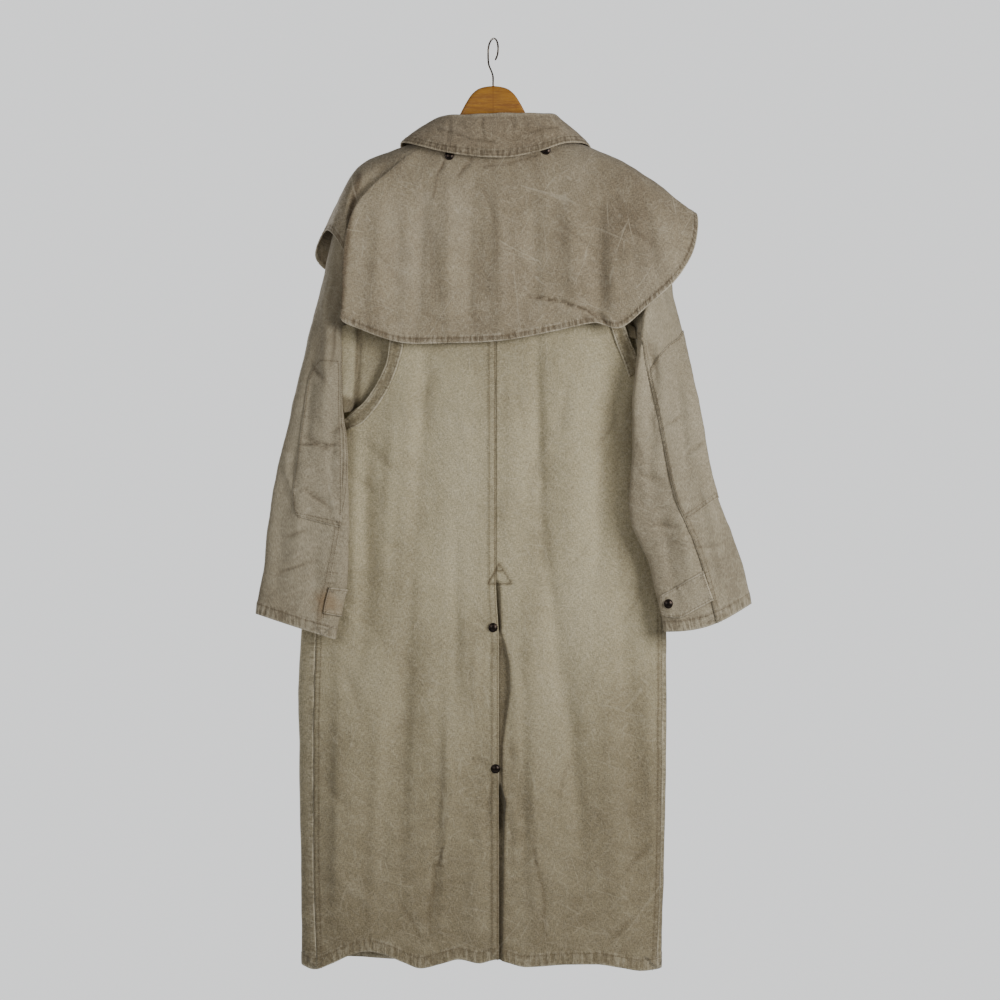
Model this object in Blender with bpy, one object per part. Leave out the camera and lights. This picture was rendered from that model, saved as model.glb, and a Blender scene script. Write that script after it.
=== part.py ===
"""A long canvas duster coat that hangs on a wooden hanger, its back towards minus Y.

All tables are in millimetres. "down" is the distance below the inside top of the
hanger's hook, which is the origin. X runs to the right as seen from behind the coat.
"""

import math

import bpy
import numpy as np
from mathutils.bvhtree import BVHTree

# Driving sizes, in millimetres.
CLOTH = 1.6
COLLAR_CLOTH = 2.2
SEAM_GAP = 0.6
LAYER_GAP = 0.5
HEM_LIFT = 0.8
FELL_WIDTH = 13.0
FELL_LIFT = 0.7
CENTRE_BACK = 5.0
VENT_TOP = 878.0
UNDERLAP = 20.0
PLACKET_LEFT_EDGE = 24.0
PLACKET_RIGHT_EDGE = -20.0
PLACKET_STEP = 4.5
BODY_POWER = 3.2
SLEEVE_POWER = 0.75
NECK_HALF_WIDTH = 80.0
SHOULDER_ROUND = 12.0
SHOULDER_SEAM = 1.0
NECK_DEPTH = 40.0
SHOULDER_RISE = 60.0
SNAP_RADIUS = 7.5
SNAP_HEIGHT = 3.2
WIRE_RADIUS = 1.5
WIRE_HOLE = 1.9
HOOK_INNER_RADIUS = 17.0
HOOK_TURN = 64.0
HANGER_HALF_DEPTH = 6.5

# down, left side, right side, back depth, front depth
BODY = (
    (150, -300, 300, 44, 44),
    (400, -296, 292, 44, 44),
    (500, -286, 280, 43, 44),
    (560, -262, 262, 42, 44),
    (610, -248, 252, 42, 44),
    (650, -252, 254, 42, 44),
    (700, -266, 260, 42, 44),
    (760, -284, 267, 43, 44),
    (850, -301, 275, 43, 44),
    (950, -310, 280, 44, 45),
    (1067, -314, 280, 44, 46),
    (1190, -312, 279, 44, 46),
    (1312, -310, 277, 43, 45),
    (1500, -309, 271, 42, 44),
)

# down, left edge of the back panel, right edge of the back panel
BACK_EDGES = (
    (150, -186, 186),
    (215, -188, 188.2),
    (256, -179.5, 189.4),
    (300, -174.5, 191.6),
    (400, -166, 195.4),
    (440, -162.4, 199),
    (466, -162, 212),
    (492, -166, 221),
    (520, -170, 232),
    (553, -184, 239),
    (586, -206, 243),
    (611, -234, 246),
    (640, -242, 247),
    (700, -250, 252),
    (850, -275, 267),
    (961, -284, 272),
    (1149, -288, 272),
    (1312, -288, 269),
    (1500, -282, 263),
)

# down, left edge of the front panels above the side seam, right edge of the same
FRONT_EDGES = (
    (150, -186, 186),
    (215, -188, 188.2),
    (300, -180, 191.6),
    (400, -192, 202),
    (450, -222, 226),
    (492, -235, 236),
    (553, -240, 240),
    (611, -244, 244),
)

# x, top of the back, top of the front
TOP_LINE = (
    (0, 168, 196),
    (40, 166, 188),
    (65, 163, 172),
    (80, 161, 161),
    (100, 165, 165),
    (150, 181, 181),
    (190, 205, 205),
    (200, 213, 213),
)

# x, down: the hem of the back
BACK_HEM = (
    (-309, 1492),
    (-288, 1498),
    (-259, 1488),
    (-227, 1473),
    (-202, 1467),
    (-178, 1471),
    (-145, 1484),
    (-116, 1494),
    (-80, 1486),
    (-55, 1480),
    (-22, 1486),
    (6, 1480),
    (20, 1484),
    (53, 1492),
    (122, 1488),
    (163, 1488),
    (204, 1494),
    (240, 1500),
    (271, 1498),
)

# down, right edge of the opening beside the vent, how far the underlap lies in
VENT_GAP = (
    (835, 5.2, 0.0),
    (860, 5.2, 3.0),
    (890, 9, 5.0),
    (950, 11, 5.0),
    (975, 17, 5.5),
    (1010, 24, 6.0),
    (1045, 25, 6.0),
    (1080, 21, 5.5),
    (1150, 13, 5.0),
    (1205, 13, 5.0),
    (1230, 18, 5.5),
    (1255, 16, 5.0),
    (1400, 14, 5.0),
    (1500, 13, 5.0),
)

# x at top, x at bottom, top, bottom, half width, height (out is positive)
BACK_FOLDS = (
    (-105, -108, 470, 880, 22, -5.0),
    (-137, -173, 930, 1330, 21, -6.5),
    (66, 68, 450, 860, 18, -4.5),
    (101, 142, 880, 1320, 21, -7.0),
    (198, 170, 540, 850, 20, -7.5),
    (212, 246, 940, 1360, 20, -7.5),
    (-204, -200, 620, 990, 15, -8.0),
    (-75, -74, 1030, 1360, 26, 6.5),
    (-152, -140, 500, 920, 26, 4.5),
    (24, 30, 480, 850, 22, 3.5),
    (125, 132, 500, 920, 26, 5.5),
    (228, 216, 600, 900, 16, 4.0),
    (62, 74, 900, 1460, 22, 5.5),
    (-222, -244, 980, 1480, 28, 6.5),
    (182, 204, 980, 1480, 24, 6.5),
    (-40, -32, 880, 1130, 22, 4.0),
    (-24, -30, 1240, 1490, 16, 4.0),
    (40, 36, 1000, 1200, 12, 3.5),
)

# The same columns for the fronts.
FRONT_FOLDS = (
    (-150, -160, 420, 900, 26, 5.0),
    (-90, -84, 500, 1100, 22, -5.0),
    (-200, -215, 850, 1480, 26, 6.0),
    (-60, -70, 1000, 1490, 24, 5.0),
    (90, 84, 450, 1000, 22, -5.0),
    (150, 165, 420, 950, 26, 5.0),
    (70, 80, 1000, 1490, 24, 5.5),
    (190, 210, 900, 1480, 24, -6.0),
    (-140, -150, 1050, 1480, 18, -5.5),
)

# x outer, down outer, y outer, x inner, down inner, y inner, half depth, sag,
# seam place on the back (0 at the outer edge, 1 at the inner edge)
LEFT_SLEEVE = (
    (-188.5, 221, -2, -162.8, 452, -2, 34, 0, 0.985),
    (-220, 231, -2, -216, 464, -4, 34, 0, 0.985),
    (-238, 262, -3, -236, 478, -10, 34, 0, 0.985),
    (-256, 312, -4, -243, 500, -18, 33, 0, 0.985),
    (-273, 378, -7, -243, 528, -26, 31, 0, 0.985),
    (-284, 430, -12, -241, 560, -36, 28, 0, 0.985),
    (-298, 484, -20, -238, 600, -48, 25, 0, 0.985),
    (-313, 556, -36, -234, 645, -57, 21, 0, 0.985),
    (-326, 616, -46, -231, 685, -60, 18, 0, 0.985),
    (-342, 681, -53, -230, 728, -60, 17, 0, 0.97),
    (-352, 735, -57, -230, 770, -60, 17, 0, 0.92),
    (-360, 795, -59, -230, 820, -60, 17, 0, 0.86),
    (-366, 850, -60, -232, 868, -60, 17, 0, 0.81),
    (-374, 894, -60, -241, 915, -60, 17, 0, 0.79),
    (-378, 925, -60, -252, 966, -60, 17, 0, 0.83),
)
RIGHT_SLEEVE = (
    (189, 219, -2, 198.7, 452, -2, 34, 0, 0.985),
    (225, 231, -2, 213, 464, -6, 34, 0, 0.985),
    (252, 256, -3, 227, 480, -22, 34, 0, 0.985),
    (272, 300, -4, 231, 505, -50, 32, 0, 0.92),
    (284, 360, -6, 228, 530, -58, 28, 0, 0.80),
    (291, 412, -10, 224, 560, -61, 25, 0, 0.72),
    (303, 467, -22, 222, 610, -62, 22, 0, 0.64),
    (313, 513, -34, 222, 656, -62, 20, 0, 0.58),
    (325, 570, -46, 219, 700, -62, 18, 0, 0.53),
    (337, 637, -54, 217, 745, -62, 17, 0, 0.49),
    (349, 705, -58, 222, 785, -61, 17, 0, 0.46),
    (364, 754, -60, 235, 815, -61, 17, 0, 0.44),
    (382, 800, -60, 250, 850, -60, 17, 3, 0.43),
    (398, 845, -60, 259, 890, -60, 17, 7, 0.42),
    (411, 909, -60, 275, 954, -60, 17, 13, 0.40),
)

# The columns of the body's folds, for each sleeve.
LEFT_SLEEVE_FOLDS = (
    (-262, -270, 400, 640, 9, 5.0),
    (-285, -300, 480, 700, 8, -4.5),
    (-250, -262, 560, 780, 8, -4.0),
    (-300, -318, 640, 900, 12, 5.0),
    (-275, -292, 780, 950, 10, -4.0),
    (-336, -345, 720, 920, 9, -3.5),
)
RIGHT_SLEEVE_FOLDS = (
    (262, 272, 430, 620, 9, 5.0),
    (248, 252, 520, 760, 9, -4.5),
    (292, 312, 520, 740, 9, -4.0),
    (284, 318, 680, 900, 12, 5.0),
    (262, 296, 740, 930, 9, -4.0),
    (335, 368, 700, 880, 9, 4.0),
)

# Four points a row, from the neck to the hem: x, y, down of each.
CAPE = (
    (-40, 47, 188, -54, 57, 252, -62, 60, 320, -66, 61, 384),
    (-64, 38, 174, -104, 57, 240, -130, 63, 320, -146, 64, 398),
    (-78, 22, 163, -142, 44, 214, -192, 56, 300, -216, 60, 394),
    (-84, 15, 157, -162, 33, 192, -232, 39, 262, -270, 34, 372),
    (-86, 5, 154, -164, 12, 182, -236, 14, 240, -289, 14, 346),
    (-86, -2, 156, -162, -4, 180, -223, -6, 214, -273, -6, 313),
    (-86, -7, 157, -160, -18, 183, -226, -34, 226, -259, -46, 316),
    (-85, -12, 158, -158, -30, 190, -226, -54, 250, -238, -66, 347),
    (-84, -16, 159, -154, -38, 196, -219, -55, 276, -229, -57, 384),
    (-83, -20, 160, -150, -43, 201, -217, -60, 290, -231, -60, 430),
    (-81, -24, 161, -146, -48, 206, -226, -71, 296, -242, -73, 456),
    (-74, -30, 164, -128, -53, 228, -190, -66, 340, -212, -68, 472),
    (-56, -38, 167, -92, -55, 240, -128, -62, 360, -148, -64, 493),
    (-30, -43, 169, -46, -56, 250, -64, -61, 366, -78, -62, 494),
    (6, -45.5, 170, 8, -57, 250, 10, -61, 370, 14, -63, 490),
    (40, -43, 169, 60, -56, 250, 80, -61, 360, 97, -63, 475),
    (64, -38, 167, 104, -54, 240, 138, -61, 352, 162, -65, 462),
    (78, -28, 163, 138, -49, 222, 184, -62, 330, 203, -69, 470),
    (85, -20, 160, 154, -42, 204, 222, -64, 296, 248, -77, 434),
    (88, -12, 158, 158, -30, 188, 240, -56, 256, 294, -76, 390),
    (89, -6, 156, 160, -16, 179, 244, -38, 230, 322, -60, 340),
    (89, 0, 155, 160, -2, 176, 242, -10, 218, 327, -32, 285),
    (89, 6, 156, 160, 14, 180, 238, 22, 230, 300, 12, 300),
    (86, 16, 159, 150, 34, 200, 214, 50, 280, 252, 50, 364),
    (80, 28, 165, 134, 52, 226, 176, 60, 310, 196, 61, 396),
    (70, 38, 174, 110, 57, 240, 134, 63, 320, 144, 64, 398),
    (52, 47, 188, 62, 57, 252, 70, 60, 320, 76, 61, 384),
)

# x at top, x at bottom, top, bottom, half width, height
CAPE_FOLDS = (
    (-74, -70, 220, 500, 20, 4.0),
    (-118, -122, 240, 500, 16, -3.5),
    (8, 14, 215, 500, 24, 4.5),
    (-32, -36, 230, 480, 15, -3.0),
    (62, 66, 230, 500, 18, -3.0),
    (128, 134, 230, 480, 20, 4.0),
    (188, 196, 260, 490, 14, 4.5),
    (-180, -190, 250, 480, 16, 4.0),
    (160, 172, 300, 490, 11, -3.5),
)

# x, y, down of the fold, then x, y, down of the free edge
COLLAR = (
    (-34, 55, 172, -92, 70, 250),
    (-62, 45, 152, -134, 63, 214),
    (-84, 24, 138, -148, 35, 177),
    (-90, 0, 130, -150, 3, 170),
    (-86, -25, 128, -140, -35, 170.6),
    (-64, -42, 127, -84, -57.8, 187),
    (-30, -51, 127, -37, -61.8, 195),
    (6, -53, 126, 3, -63.8, 198),
    (40, -51, 125, 36, -61.8, 196),
    (74, -42, 124, 78, -57.8, 186),
    (97, -25, 124, 118, -45, 172.6),
    (104, 0, 127, 154, 0, 170),
    (98, 24, 138, 158, 32, 186),
    (78, 45, 152, 146, 63, 216),
    (48, 55, 172, 104, 70, 250),
)
COLLAR_STAND_BOTTOM = (
    (-36, 43, 181),
    (-58, 33, 165),
    (-72, 18, 154),
    (-77, 0, 149),
    (-73, -17, 153),
    (-55, -30, 162.2),
    (-27, -38.2, 166.2),
    (6, -40.2, 167.2),
    (36, -37, 165.6),
    (63, -27, 161.8),
    (77, -16, 154),
    (83, 0, 149),
    (82, 18, 153),
    (69, 33, 165),
    (48, 43, 181),
)

# x outer edge, down, then x inner edge, down: the armhole bands
LEFT_BAND = (
    (-162, 440, -140, 440),
    (-163, 468, -142, 470),
    (-166, 492, -144, 496),
    (-170, 520, -151, 523),
    (-184, 553, -164, 558),
    (-206, 586, -186, 594),
    (-232, 609, -212, 621),
)
RIGHT_BAND = (
    (198, 436, 178, 440),
    (206, 452, 185, 457),
    (211, 466, 191, 473),
    (220, 489, 199, 497),
    (230, 513, 210, 523),
    (237, 538, 218, 547),
)

# x, down and y beside the armhole, then x, down and y beside the sleeve
LEFT_GUSSET = (
    (-152, 426, -34, -238.5, 464, -38),
    (-154, 470, -34, -241.6, 494, -36),
    (-157, 500, -33, -242.0, 524, -38),
    (-166, 534, -31, -240.8, 552, -45),
    (-184, 563, -28, -239.0, 573, -48),
    (-202, 585, -20, -237.4, 591, -49),
    (-220, 600, -9, -236.4, 604, -49),
)
RIGHT_GUSSET = (
    (184, 436, -28, 224.5, 466, -44),
    (194, 456, -26, 226.2, 476, -48),
    (199, 468, -22, 227, 482, -51),
    (203, 476, -18, 227, 486, -53),
)

# x, down along the left side, then x, down along the right side: the elbow patches
LEFT_PATCH = (
    (-272, 520, -249, 520),
    (-286, 530, -247, 531),
    (-294, 548, -246, 552),
    (-304, 617, -243, 617),
    (-309, 656, -241, 657),
    (-318, 738, -240, 742),
    (-317, 755, -241, 766),
    (-308, 771, -243, 788),
)
RIGHT_PATCH = (
    (266, 523, 306, 506),
    (272, 562, 316, 545),
    (281, 619, 326, 606),
    (290, 679, 338, 660),
    (305, 732, 350, 712),
    (316, 770, 359, 750),
)

# x, down on the upper edge, then x, down on the lower edge: the right cuff tab
RIGHT_TAB = (
    (334, 857, 350, 903),
    (311, 870, 324, 917),
    (289, 884, 296, 931),
    (274, 892, 280, 930),
    (267, 897, 270, 925),
)

# x, top, bottom of half of the hanger's wood
HANGER = (
    (0, 75, 124),
    (10, 76, 125),
    (22, 79, 129),
    (34, 88, 134),
    (44, 103, 142),
    (52, 118, 150),
    (62, 137, 162),
    (72, 156.8, 175),
    (84, 167, 186),
    (100, 167.6, 195),
    (130, 176.6, 205),
    (160, 189.4, 217),
    (174, 198.4, 224),
    (182, 204.6, 226),
    (186, 211, 223),
)

# name, x, down
FRONT_SNAPS = (
    ("front_snap_1", 6, 240),
    ("front_snap_2", 6, 580),
    ("front_snap_3", 6, 920),
)
VENT_SNAPS = (("vent_snap_upper", 0, 948), ("vent_snap_lower", 4, 1174))

CANVAS = (0.36, 0.31, 0.22, 1.0)
CAPE_CANVAS = (0.33, 0.27, 0.19, 1.0)
WORN_CANVAS = (0.42, 0.37, 0.27, 1.0)
DARK_METAL = (0.03, 0.025, 0.02, 1.0)
WIRE_METAL = (0.10, 0.09, 0.08, 1.0)
AMBER_WOOD = (0.52, 0.24, 0.06, 1.0)

BACK_DOWNS = (
    168, 170, 175, 184, 202, 235, 285, 350, 420, 480, 520, 556, 590, 622, 660, 705, 760, 820, 860,
    890, 940, 985, 1035, 1090, 1155, 1220, 1290, 1370, 1430, 1469.5, 1470.5, 1490,
)
FRONT_DOWNS = (
    168, 170, 175, 184, 205, 250, 310, 380, 455, 520, 575, 605, 622, 660, 705, 760, 820, 860, 890,
    940, 985, 1035, 1090, 1155, 1220, 1290, 1370, 1430, 1469.5, 1470.5, 1490,
)


def smooth(knots, values, at):
    """Reads a table at some places with a smooth curve that never overshoots."""
    knots = np.asarray(knots, float)
    values = np.asarray(values, float)
    step = np.diff(knots)
    rise = np.diff(values) / step
    slope = np.zeros_like(values)
    product = rise[:-1] * rise[1:]
    total = rise[:-1] + rise[1:]
    safe = np.where(np.abs(total) > 1e-12, total, 1.0)
    slope[1:-1] = np.where(product > 0, 2 * product / safe, 0.0)
    slope[0] = rise[0]
    slope[-1] = rise[-1]
    at = np.clip(np.asarray(at, float), knots[0], knots[-1])
    place = np.clip(np.searchsorted(knots, at, side="right") - 1, 0, len(step) - 1)
    t = (at - knots[place]) / step[place]
    h = step[place]
    start = (2 * t**3 - 3 * t**2 + 1) * values[place]
    leave = (t**3 - 2 * t**2 + t) * h * slope[place]
    end = (-2 * t**3 + 3 * t**2) * values[place + 1]
    arrive = (t**3 - t**2) * h * slope[place + 1]
    return start + leave + end + arrive


def column(table, index):
    """One column of a table."""
    return np.array([row[index] for row in table], float)


def ramp(value, low, high):
    """Rises smoothly from 0 at low to 1 at high."""
    t = np.clip((np.asarray(value, float) - low) / (high - low), 0, 1)
    return t * t * (3 - 2 * t)


def folds(table, x, down):
    """The height of all folds of a table at x and down."""
    total = np.zeros(np.broadcast(x, down).shape)
    for x_top, x_bottom, top, bottom, width, height in table:
        t = np.clip((down - top) / (bottom - top), 0, 1)
        middle = x_top + (x_bottom - x_top) * t
        along = np.sin(math.pi * t) ** 0.8
        total = total + height * along * np.exp(-(((x - middle) / width) ** 2))
    return total


def body_frame(down):
    """The middle and half width of the body at a height."""
    left = smooth(column(BODY, 0), column(BODY, 1), down)
    right = smooth(column(BODY, 0), column(BODY, 2), down)
    return (left + right) / 2, (right - left) / 2


def body_angle(x, down):
    """The angle round the back half at which the body has this x."""
    middle, half = body_frame(down)
    return np.arcsin(np.clip((x - middle) / half, -1, 1))


def body_point(angle, down, lift=0.0):
    """A point on the outside of the body: the back for cos over 0, else the front."""
    middle, half = body_frame(down)
    share = np.sin(angle)
    x = middle + half * share
    back = np.cos(angle) > 0
    table_top = np.where(
        back,
        smooth(column(TOP_LINE, 0), column(TOP_LINE, 1), np.abs(x)),
        smooth(column(TOP_LINE, 0), column(TOP_LINE, 2), np.abs(x)),
    )
    full = np.where(
        back,
        smooth(column(BODY, 0), column(BODY, 3), down),
        smooth(column(BODY, 0), column(BODY, 4), down),
    )
    neck = np.sqrt(np.clip(1 - (x / NECK_HALF_WIDTH) ** 2, 0, 1))
    rim = SHOULDER_SEAM + (NECK_DEPTH - SHOULDER_SEAM) * neck
    below = np.clip(down - table_top, 0, None)
    turned = 1 - np.clip(below / SHOULDER_ROUND, 0, 1)
    cap = SHOULDER_ROUND * np.sqrt(1 - turned**2) * (1 - neck)
    full_rise = full - rim - SHOULDER_ROUND * (1 - neck)
    depth = rim + cap + full_rise * (1 - np.exp(-below / SHOULDER_RISE))
    turn = np.clip(1 - np.abs(share) ** BODY_POWER, 0, 1) ** (1 / BODY_POWER)
    flat = 1 - np.abs(share) ** 8
    bump = np.where(back, folds(BACK_FOLDS, x, down), folds(FRONT_FOLDS, x, down))
    out = depth * turn + (bump + lift) * flat
    y = np.where(back, -out, out)
    return np.stack([x, y, -down * np.ones_like(x)], axis=-1)


def shaped_down(x, down, top_column, hem):
    """Bends the first rows to the shoulder line and the last rows to the hem."""
    top = smooth(column(TOP_LINE, 0), column(TOP_LINE, top_column), np.abs(x))
    at_top = np.clip(1 - (down - BACK_DOWNS[0]) / 160, 0, 1)
    at_hem = ramp(down, 1300, 1469)
    return down + (top - BACK_DOWNS[0]) * at_top + (hem - 1490) * at_hem


def sleeve_point(table, fold_table, row, angle):
    """A point on the outside of a sleeve, and the direction out of it.

    The angle is 0 at the outer edge and pi at the inner edge, on the back between.
    """
    rows = np.arange(len(table))
    x_out, down_out, y_out, x_in, down_in, y_in, depth, sag = (
        smooth(rows, column(table, index), row) for index in range(8)
    )
    share = (1 - np.cos(angle)) / 2
    x = x_out + (x_in - x_out) * share
    down = down_out + (down_in - down_out) * share + sag * np.sin(math.pi * share)
    middle = y_out + (y_in - y_out) * share
    side = np.sin(angle)
    reach = np.sign(side) * np.abs(side) ** SLEEVE_POWER
    bump = folds(fold_table, x, down) * side
    y = middle - depth * reach - np.where(side > 0, bump, bump * 0.5)
    return np.stack([x, y, -down], axis=-1)


def grid_normals(grid, inside):
    """The outward directions of a grid, away from the inside direction."""
    along = np.gradient(grid, axis=0)
    across = np.gradient(grid, axis=1)
    return turned_out(np.cross(along, across), inside)


def surface_normals(surface, first, second, steps, inside):
    """The outward directions of a surface that is a function of two places."""
    across = surface(first + steps[0], second) - surface(first - steps[0], second)
    along = surface(first, second + steps[1]) - surface(first, second - steps[1])
    return turned_out(np.cross(across, along), inside)


def turned_out(normal, inside):
    """Unit directions, all turned the way that points away from the inside."""
    normal = normal / np.maximum(np.linalg.norm(normal, axis=-1, keepdims=True), 1e-12)
    inside = np.broadcast_to(np.asarray(inside, float), normal.shape)
    return -normal if (normal * inside).sum() > 0 else normal


def finish(name, points, faces, colour, rough, metallic=0.0):
    """Makes one object with its own material, and turns its faces outwards."""
    points = np.asarray(points, float) / 1000
    volume = 0.0
    for face in faces:
        for second, third in zip(face[1:], face[2:]):
            volume += np.linalg.det(points[[face[0], second, third]])
    if volume < 0:
        faces = [tuple(reversed(face)) for face in faces]
    mesh = bpy.data.meshes.new(name)
    mesh.from_pydata([tuple(point) for point in points], [], faces)
    mesh.validate()
    mesh.update()
    for polygon in mesh.polygons:
        polygon.use_smooth = True
    part = bpy.data.objects.new(name, mesh)
    bpy.context.scene.collection.objects.link(part)
    material = bpy.data.materials.new(name)
    material.use_nodes = True
    shader = material.node_tree.nodes["Principled BSDF"]
    shader.inputs["Base Color"].default_value = colour
    shader.inputs["Roughness"].default_value = rough
    shader.inputs["Metallic"].default_value = metallic
    mesh.materials.append(material)
    return part


def slab(name, outer, inner, colour=CANVAS, rough=0.9):
    """A closed body between two grids of points."""
    rows, columns = outer.shape[:2]
    points = np.concatenate([outer.reshape(-1, 3), inner.reshape(-1, 3)])
    second = rows * columns
    faces = []
    for row in range(rows - 1):
        for place in range(columns - 1):
            a = row * columns + place
            b = a + 1
            c = a + columns + 1
            d = a + columns
            faces.append((a, b, c))
            faces.append((a, c, d))
            faces.append((second + c, second + b, second + a))
            faces.append((second + d, second + c, second + a))
    rim = [(0, place) for place in range(columns)]
    rim += [(row, columns - 1) for row in range(1, rows)]
    rim += [(rows - 1, place) for place in range(columns - 2, -1, -1)]
    rim += [(row, 0) for row in range(rows - 2, 0, -1)]
    order = [row * columns + place for row, place in rim]
    for here, there in zip(order, order[1:] + order[:1]):
        faces.append((there, here, second + here, second + there))
    return finish(name, points, faces, colour, rough)


def wall(name, grid, normal, thickness=CLOTH, lift=0.0, colour=CANVAS):
    """A closed wall of cloth with its outside on the grid. Gives back that outside."""
    outer = grid + normal * (np.zeros(grid.shape[:2]) + lift)[..., None]
    slab(name, outer, grid - normal * thickness, colour)
    return outer, normal


def overlay(name, parent, outline, back_limit, thickness, colour=WORN_CANVAS):
    """A flat piece laid on a wall's outside, cut to an outline of x, down and limit."""
    outer, normal = parent
    sheet = slab(name, outer + normal * (LAYER_GAP + thickness), outer + normal * LAYER_GAP, colour)
    near = [(x, -260.0, -down) for x, down in outline]
    far = [(x, back_limit(down), -down) for x, down in outline]
    cutter = loft("outline_cutter", [near, far], colour, 0.9)
    cut = sheet.modifiers.new("outline", "BOOLEAN")
    cut.operation = "INTERSECT"
    cut.solver = "EXACT"
    cut.object = cutter
    graph = bpy.context.evaluated_depsgraph_get()
    shaped = bpy.data.meshes.new_from_object(sheet.evaluated_get(graph))
    sheet.modifiers.remove(cut)
    sheet.data = shaped
    bpy.data.objects.remove(cutter)
    return sheet


def loft(name, rings, colour, rough, metallic=0.0):
    """A closed body through rings of points, with flat ends."""
    rings = np.asarray(rings, float)
    count, around = rings.shape[:2]
    faces = []
    for ring in range(count - 1):
        for place in range(around):
            a = ring * around + place
            b = ring * around + (place + 1) % around
            faces.append((a, b, b + around, a + around))
    faces.append(tuple(reversed(range(around))))
    faces.append(tuple(range((count - 1) * around, count * around)))
    return finish(name, rings.reshape(-1, 3), faces, colour, rough, metallic)


def touch(part, x, down, facing, radius):
    """The spot over x and down that clears the outside of a finished object."""
    vertices = [vertex.co for vertex in part.data.vertices]
    tree = BVHTree.FromPolygons(vertices, [tuple(p.vertices) for p in part.data.polygons])
    reach = []
    for share in (0.0, 0.6, 1.0):
        for step in range(12):
            turn = 2 * math.pi * step / 12
            at_x = x + radius * share * math.cos(turn)
            at_z = -down + radius * share * math.sin(turn)
            start = (at_x / 1000, facing * 0.4, at_z / 1000)
            hit = tree.ray_cast(start, (0, -facing, 0))[0]
            if hit is not None:
                reach.append(hit.y * facing * 1000)
    return np.array([x, max(reach) * facing, -down])


def snap(name, centre, facing, radius=SNAP_RADIUS):
    """A domed snap cap that stands on a surface and faces along Y."""
    profile = (
        (1.0, LAYER_GAP),
        (1.0, LAYER_GAP + 0.8),
        (0.8, LAYER_GAP + 2.1),
        (0.4, SNAP_HEIGHT),
    )
    rings = []
    for share, height in profile:
        ring = []
        for step in range(12):
            turn = 2 * math.pi * step / 12
            flat = np.array([math.cos(turn), 0, math.sin(turn)]) * radius * share
            ring.append(centre + flat + np.array([0, facing * height, 0]))
        rings.append(ring)
    return loft(name, rings, DARK_METAL, 0.35, 0.8)


def part_named(name):
    """The finished object of this name."""
    return bpy.data.objects[name]


def body_wall(name, angle, down, raised, lift):
    """One panel of the body from its angles and heights."""

    def surface(at_angle, at_down):
        return body_point(at_angle, at_down, raised)

    grid = surface(angle, down)
    middle, _ = body_frame(down)
    inside = np.stack([middle - grid[..., 0], -grid[..., 1], 0 * middle], axis=-1)
    normal = surface_normals(surface, angle, down, (0.02, 4.0), inside)
    return wall(name, grid, normal, lift=lift)


def build_back():
    """Makes both back panels, with the vent's underlap on the right one."""
    downs = np.array(BACK_DOWNS, float)[:, None]
    edge = smooth(column(BACK_EDGES, 0), column(BACK_EDGES, 1), downs)
    inner = CENTRE_BACK - SEAM_GAP / 2 + 4.5 * ramp(downs, VENT_TOP, VENT_TOP + 90)
    main = inner - FELL_WIDTH - 0.3
    share = np.linspace(0, 1, 14)[None, :]
    share = share - 0.04 * np.sin(2 * math.pi * share)
    x = edge + (main - edge) * share
    x = np.concatenate([x, main + 0.6, inner], axis=1)
    hem = smooth(column(BACK_HEM, 0), column(BACK_HEM, 1), x)
    down = shaped_down(x, downs, 1, hem)
    lift = np.zeros_like(x)
    lift[:, -2:] = FELL_LIFT
    lift[-2:, :] = HEM_LIFT
    left = body_wall("back_left", body_angle(x, down), down, 0.0, lift)

    edge = smooth(column(BACK_EDGES, 0), column(BACK_EDGES, 2), downs)
    gap = smooth(column(VENT_GAP, 0), column(VENT_GAP, 1), downs)
    recess = smooth(column(VENT_GAP, 0), column(VENT_GAP, 2), downs)
    start = CENTRE_BACK + SEAM_GAP / 2 - (UNDERLAP + 5) * ramp(downs, 866, 890)
    main = gap + 7
    covered = np.maximum(gap - 0.5, start + 0.5)
    share = np.linspace(0, 1, 14)[None, :]
    share = share + 0.04 * np.sin(2 * math.pi * share)
    x = np.concatenate([start, covered, main + (edge - main) * share], axis=1)
    hem = smooth(column(BACK_HEM, 0), column(BACK_HEM, 1), x)
    down = shaped_down(x, downs, 1, hem)
    in_by = recess * (1 - ramp(x, gap - 1, main))
    lift = np.zeros_like(x)
    lift[-2:, :] = HEM_LIFT
    right = body_wall("back_right", body_angle(x, down), down, -in_by, lift)
    return left, right


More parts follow.
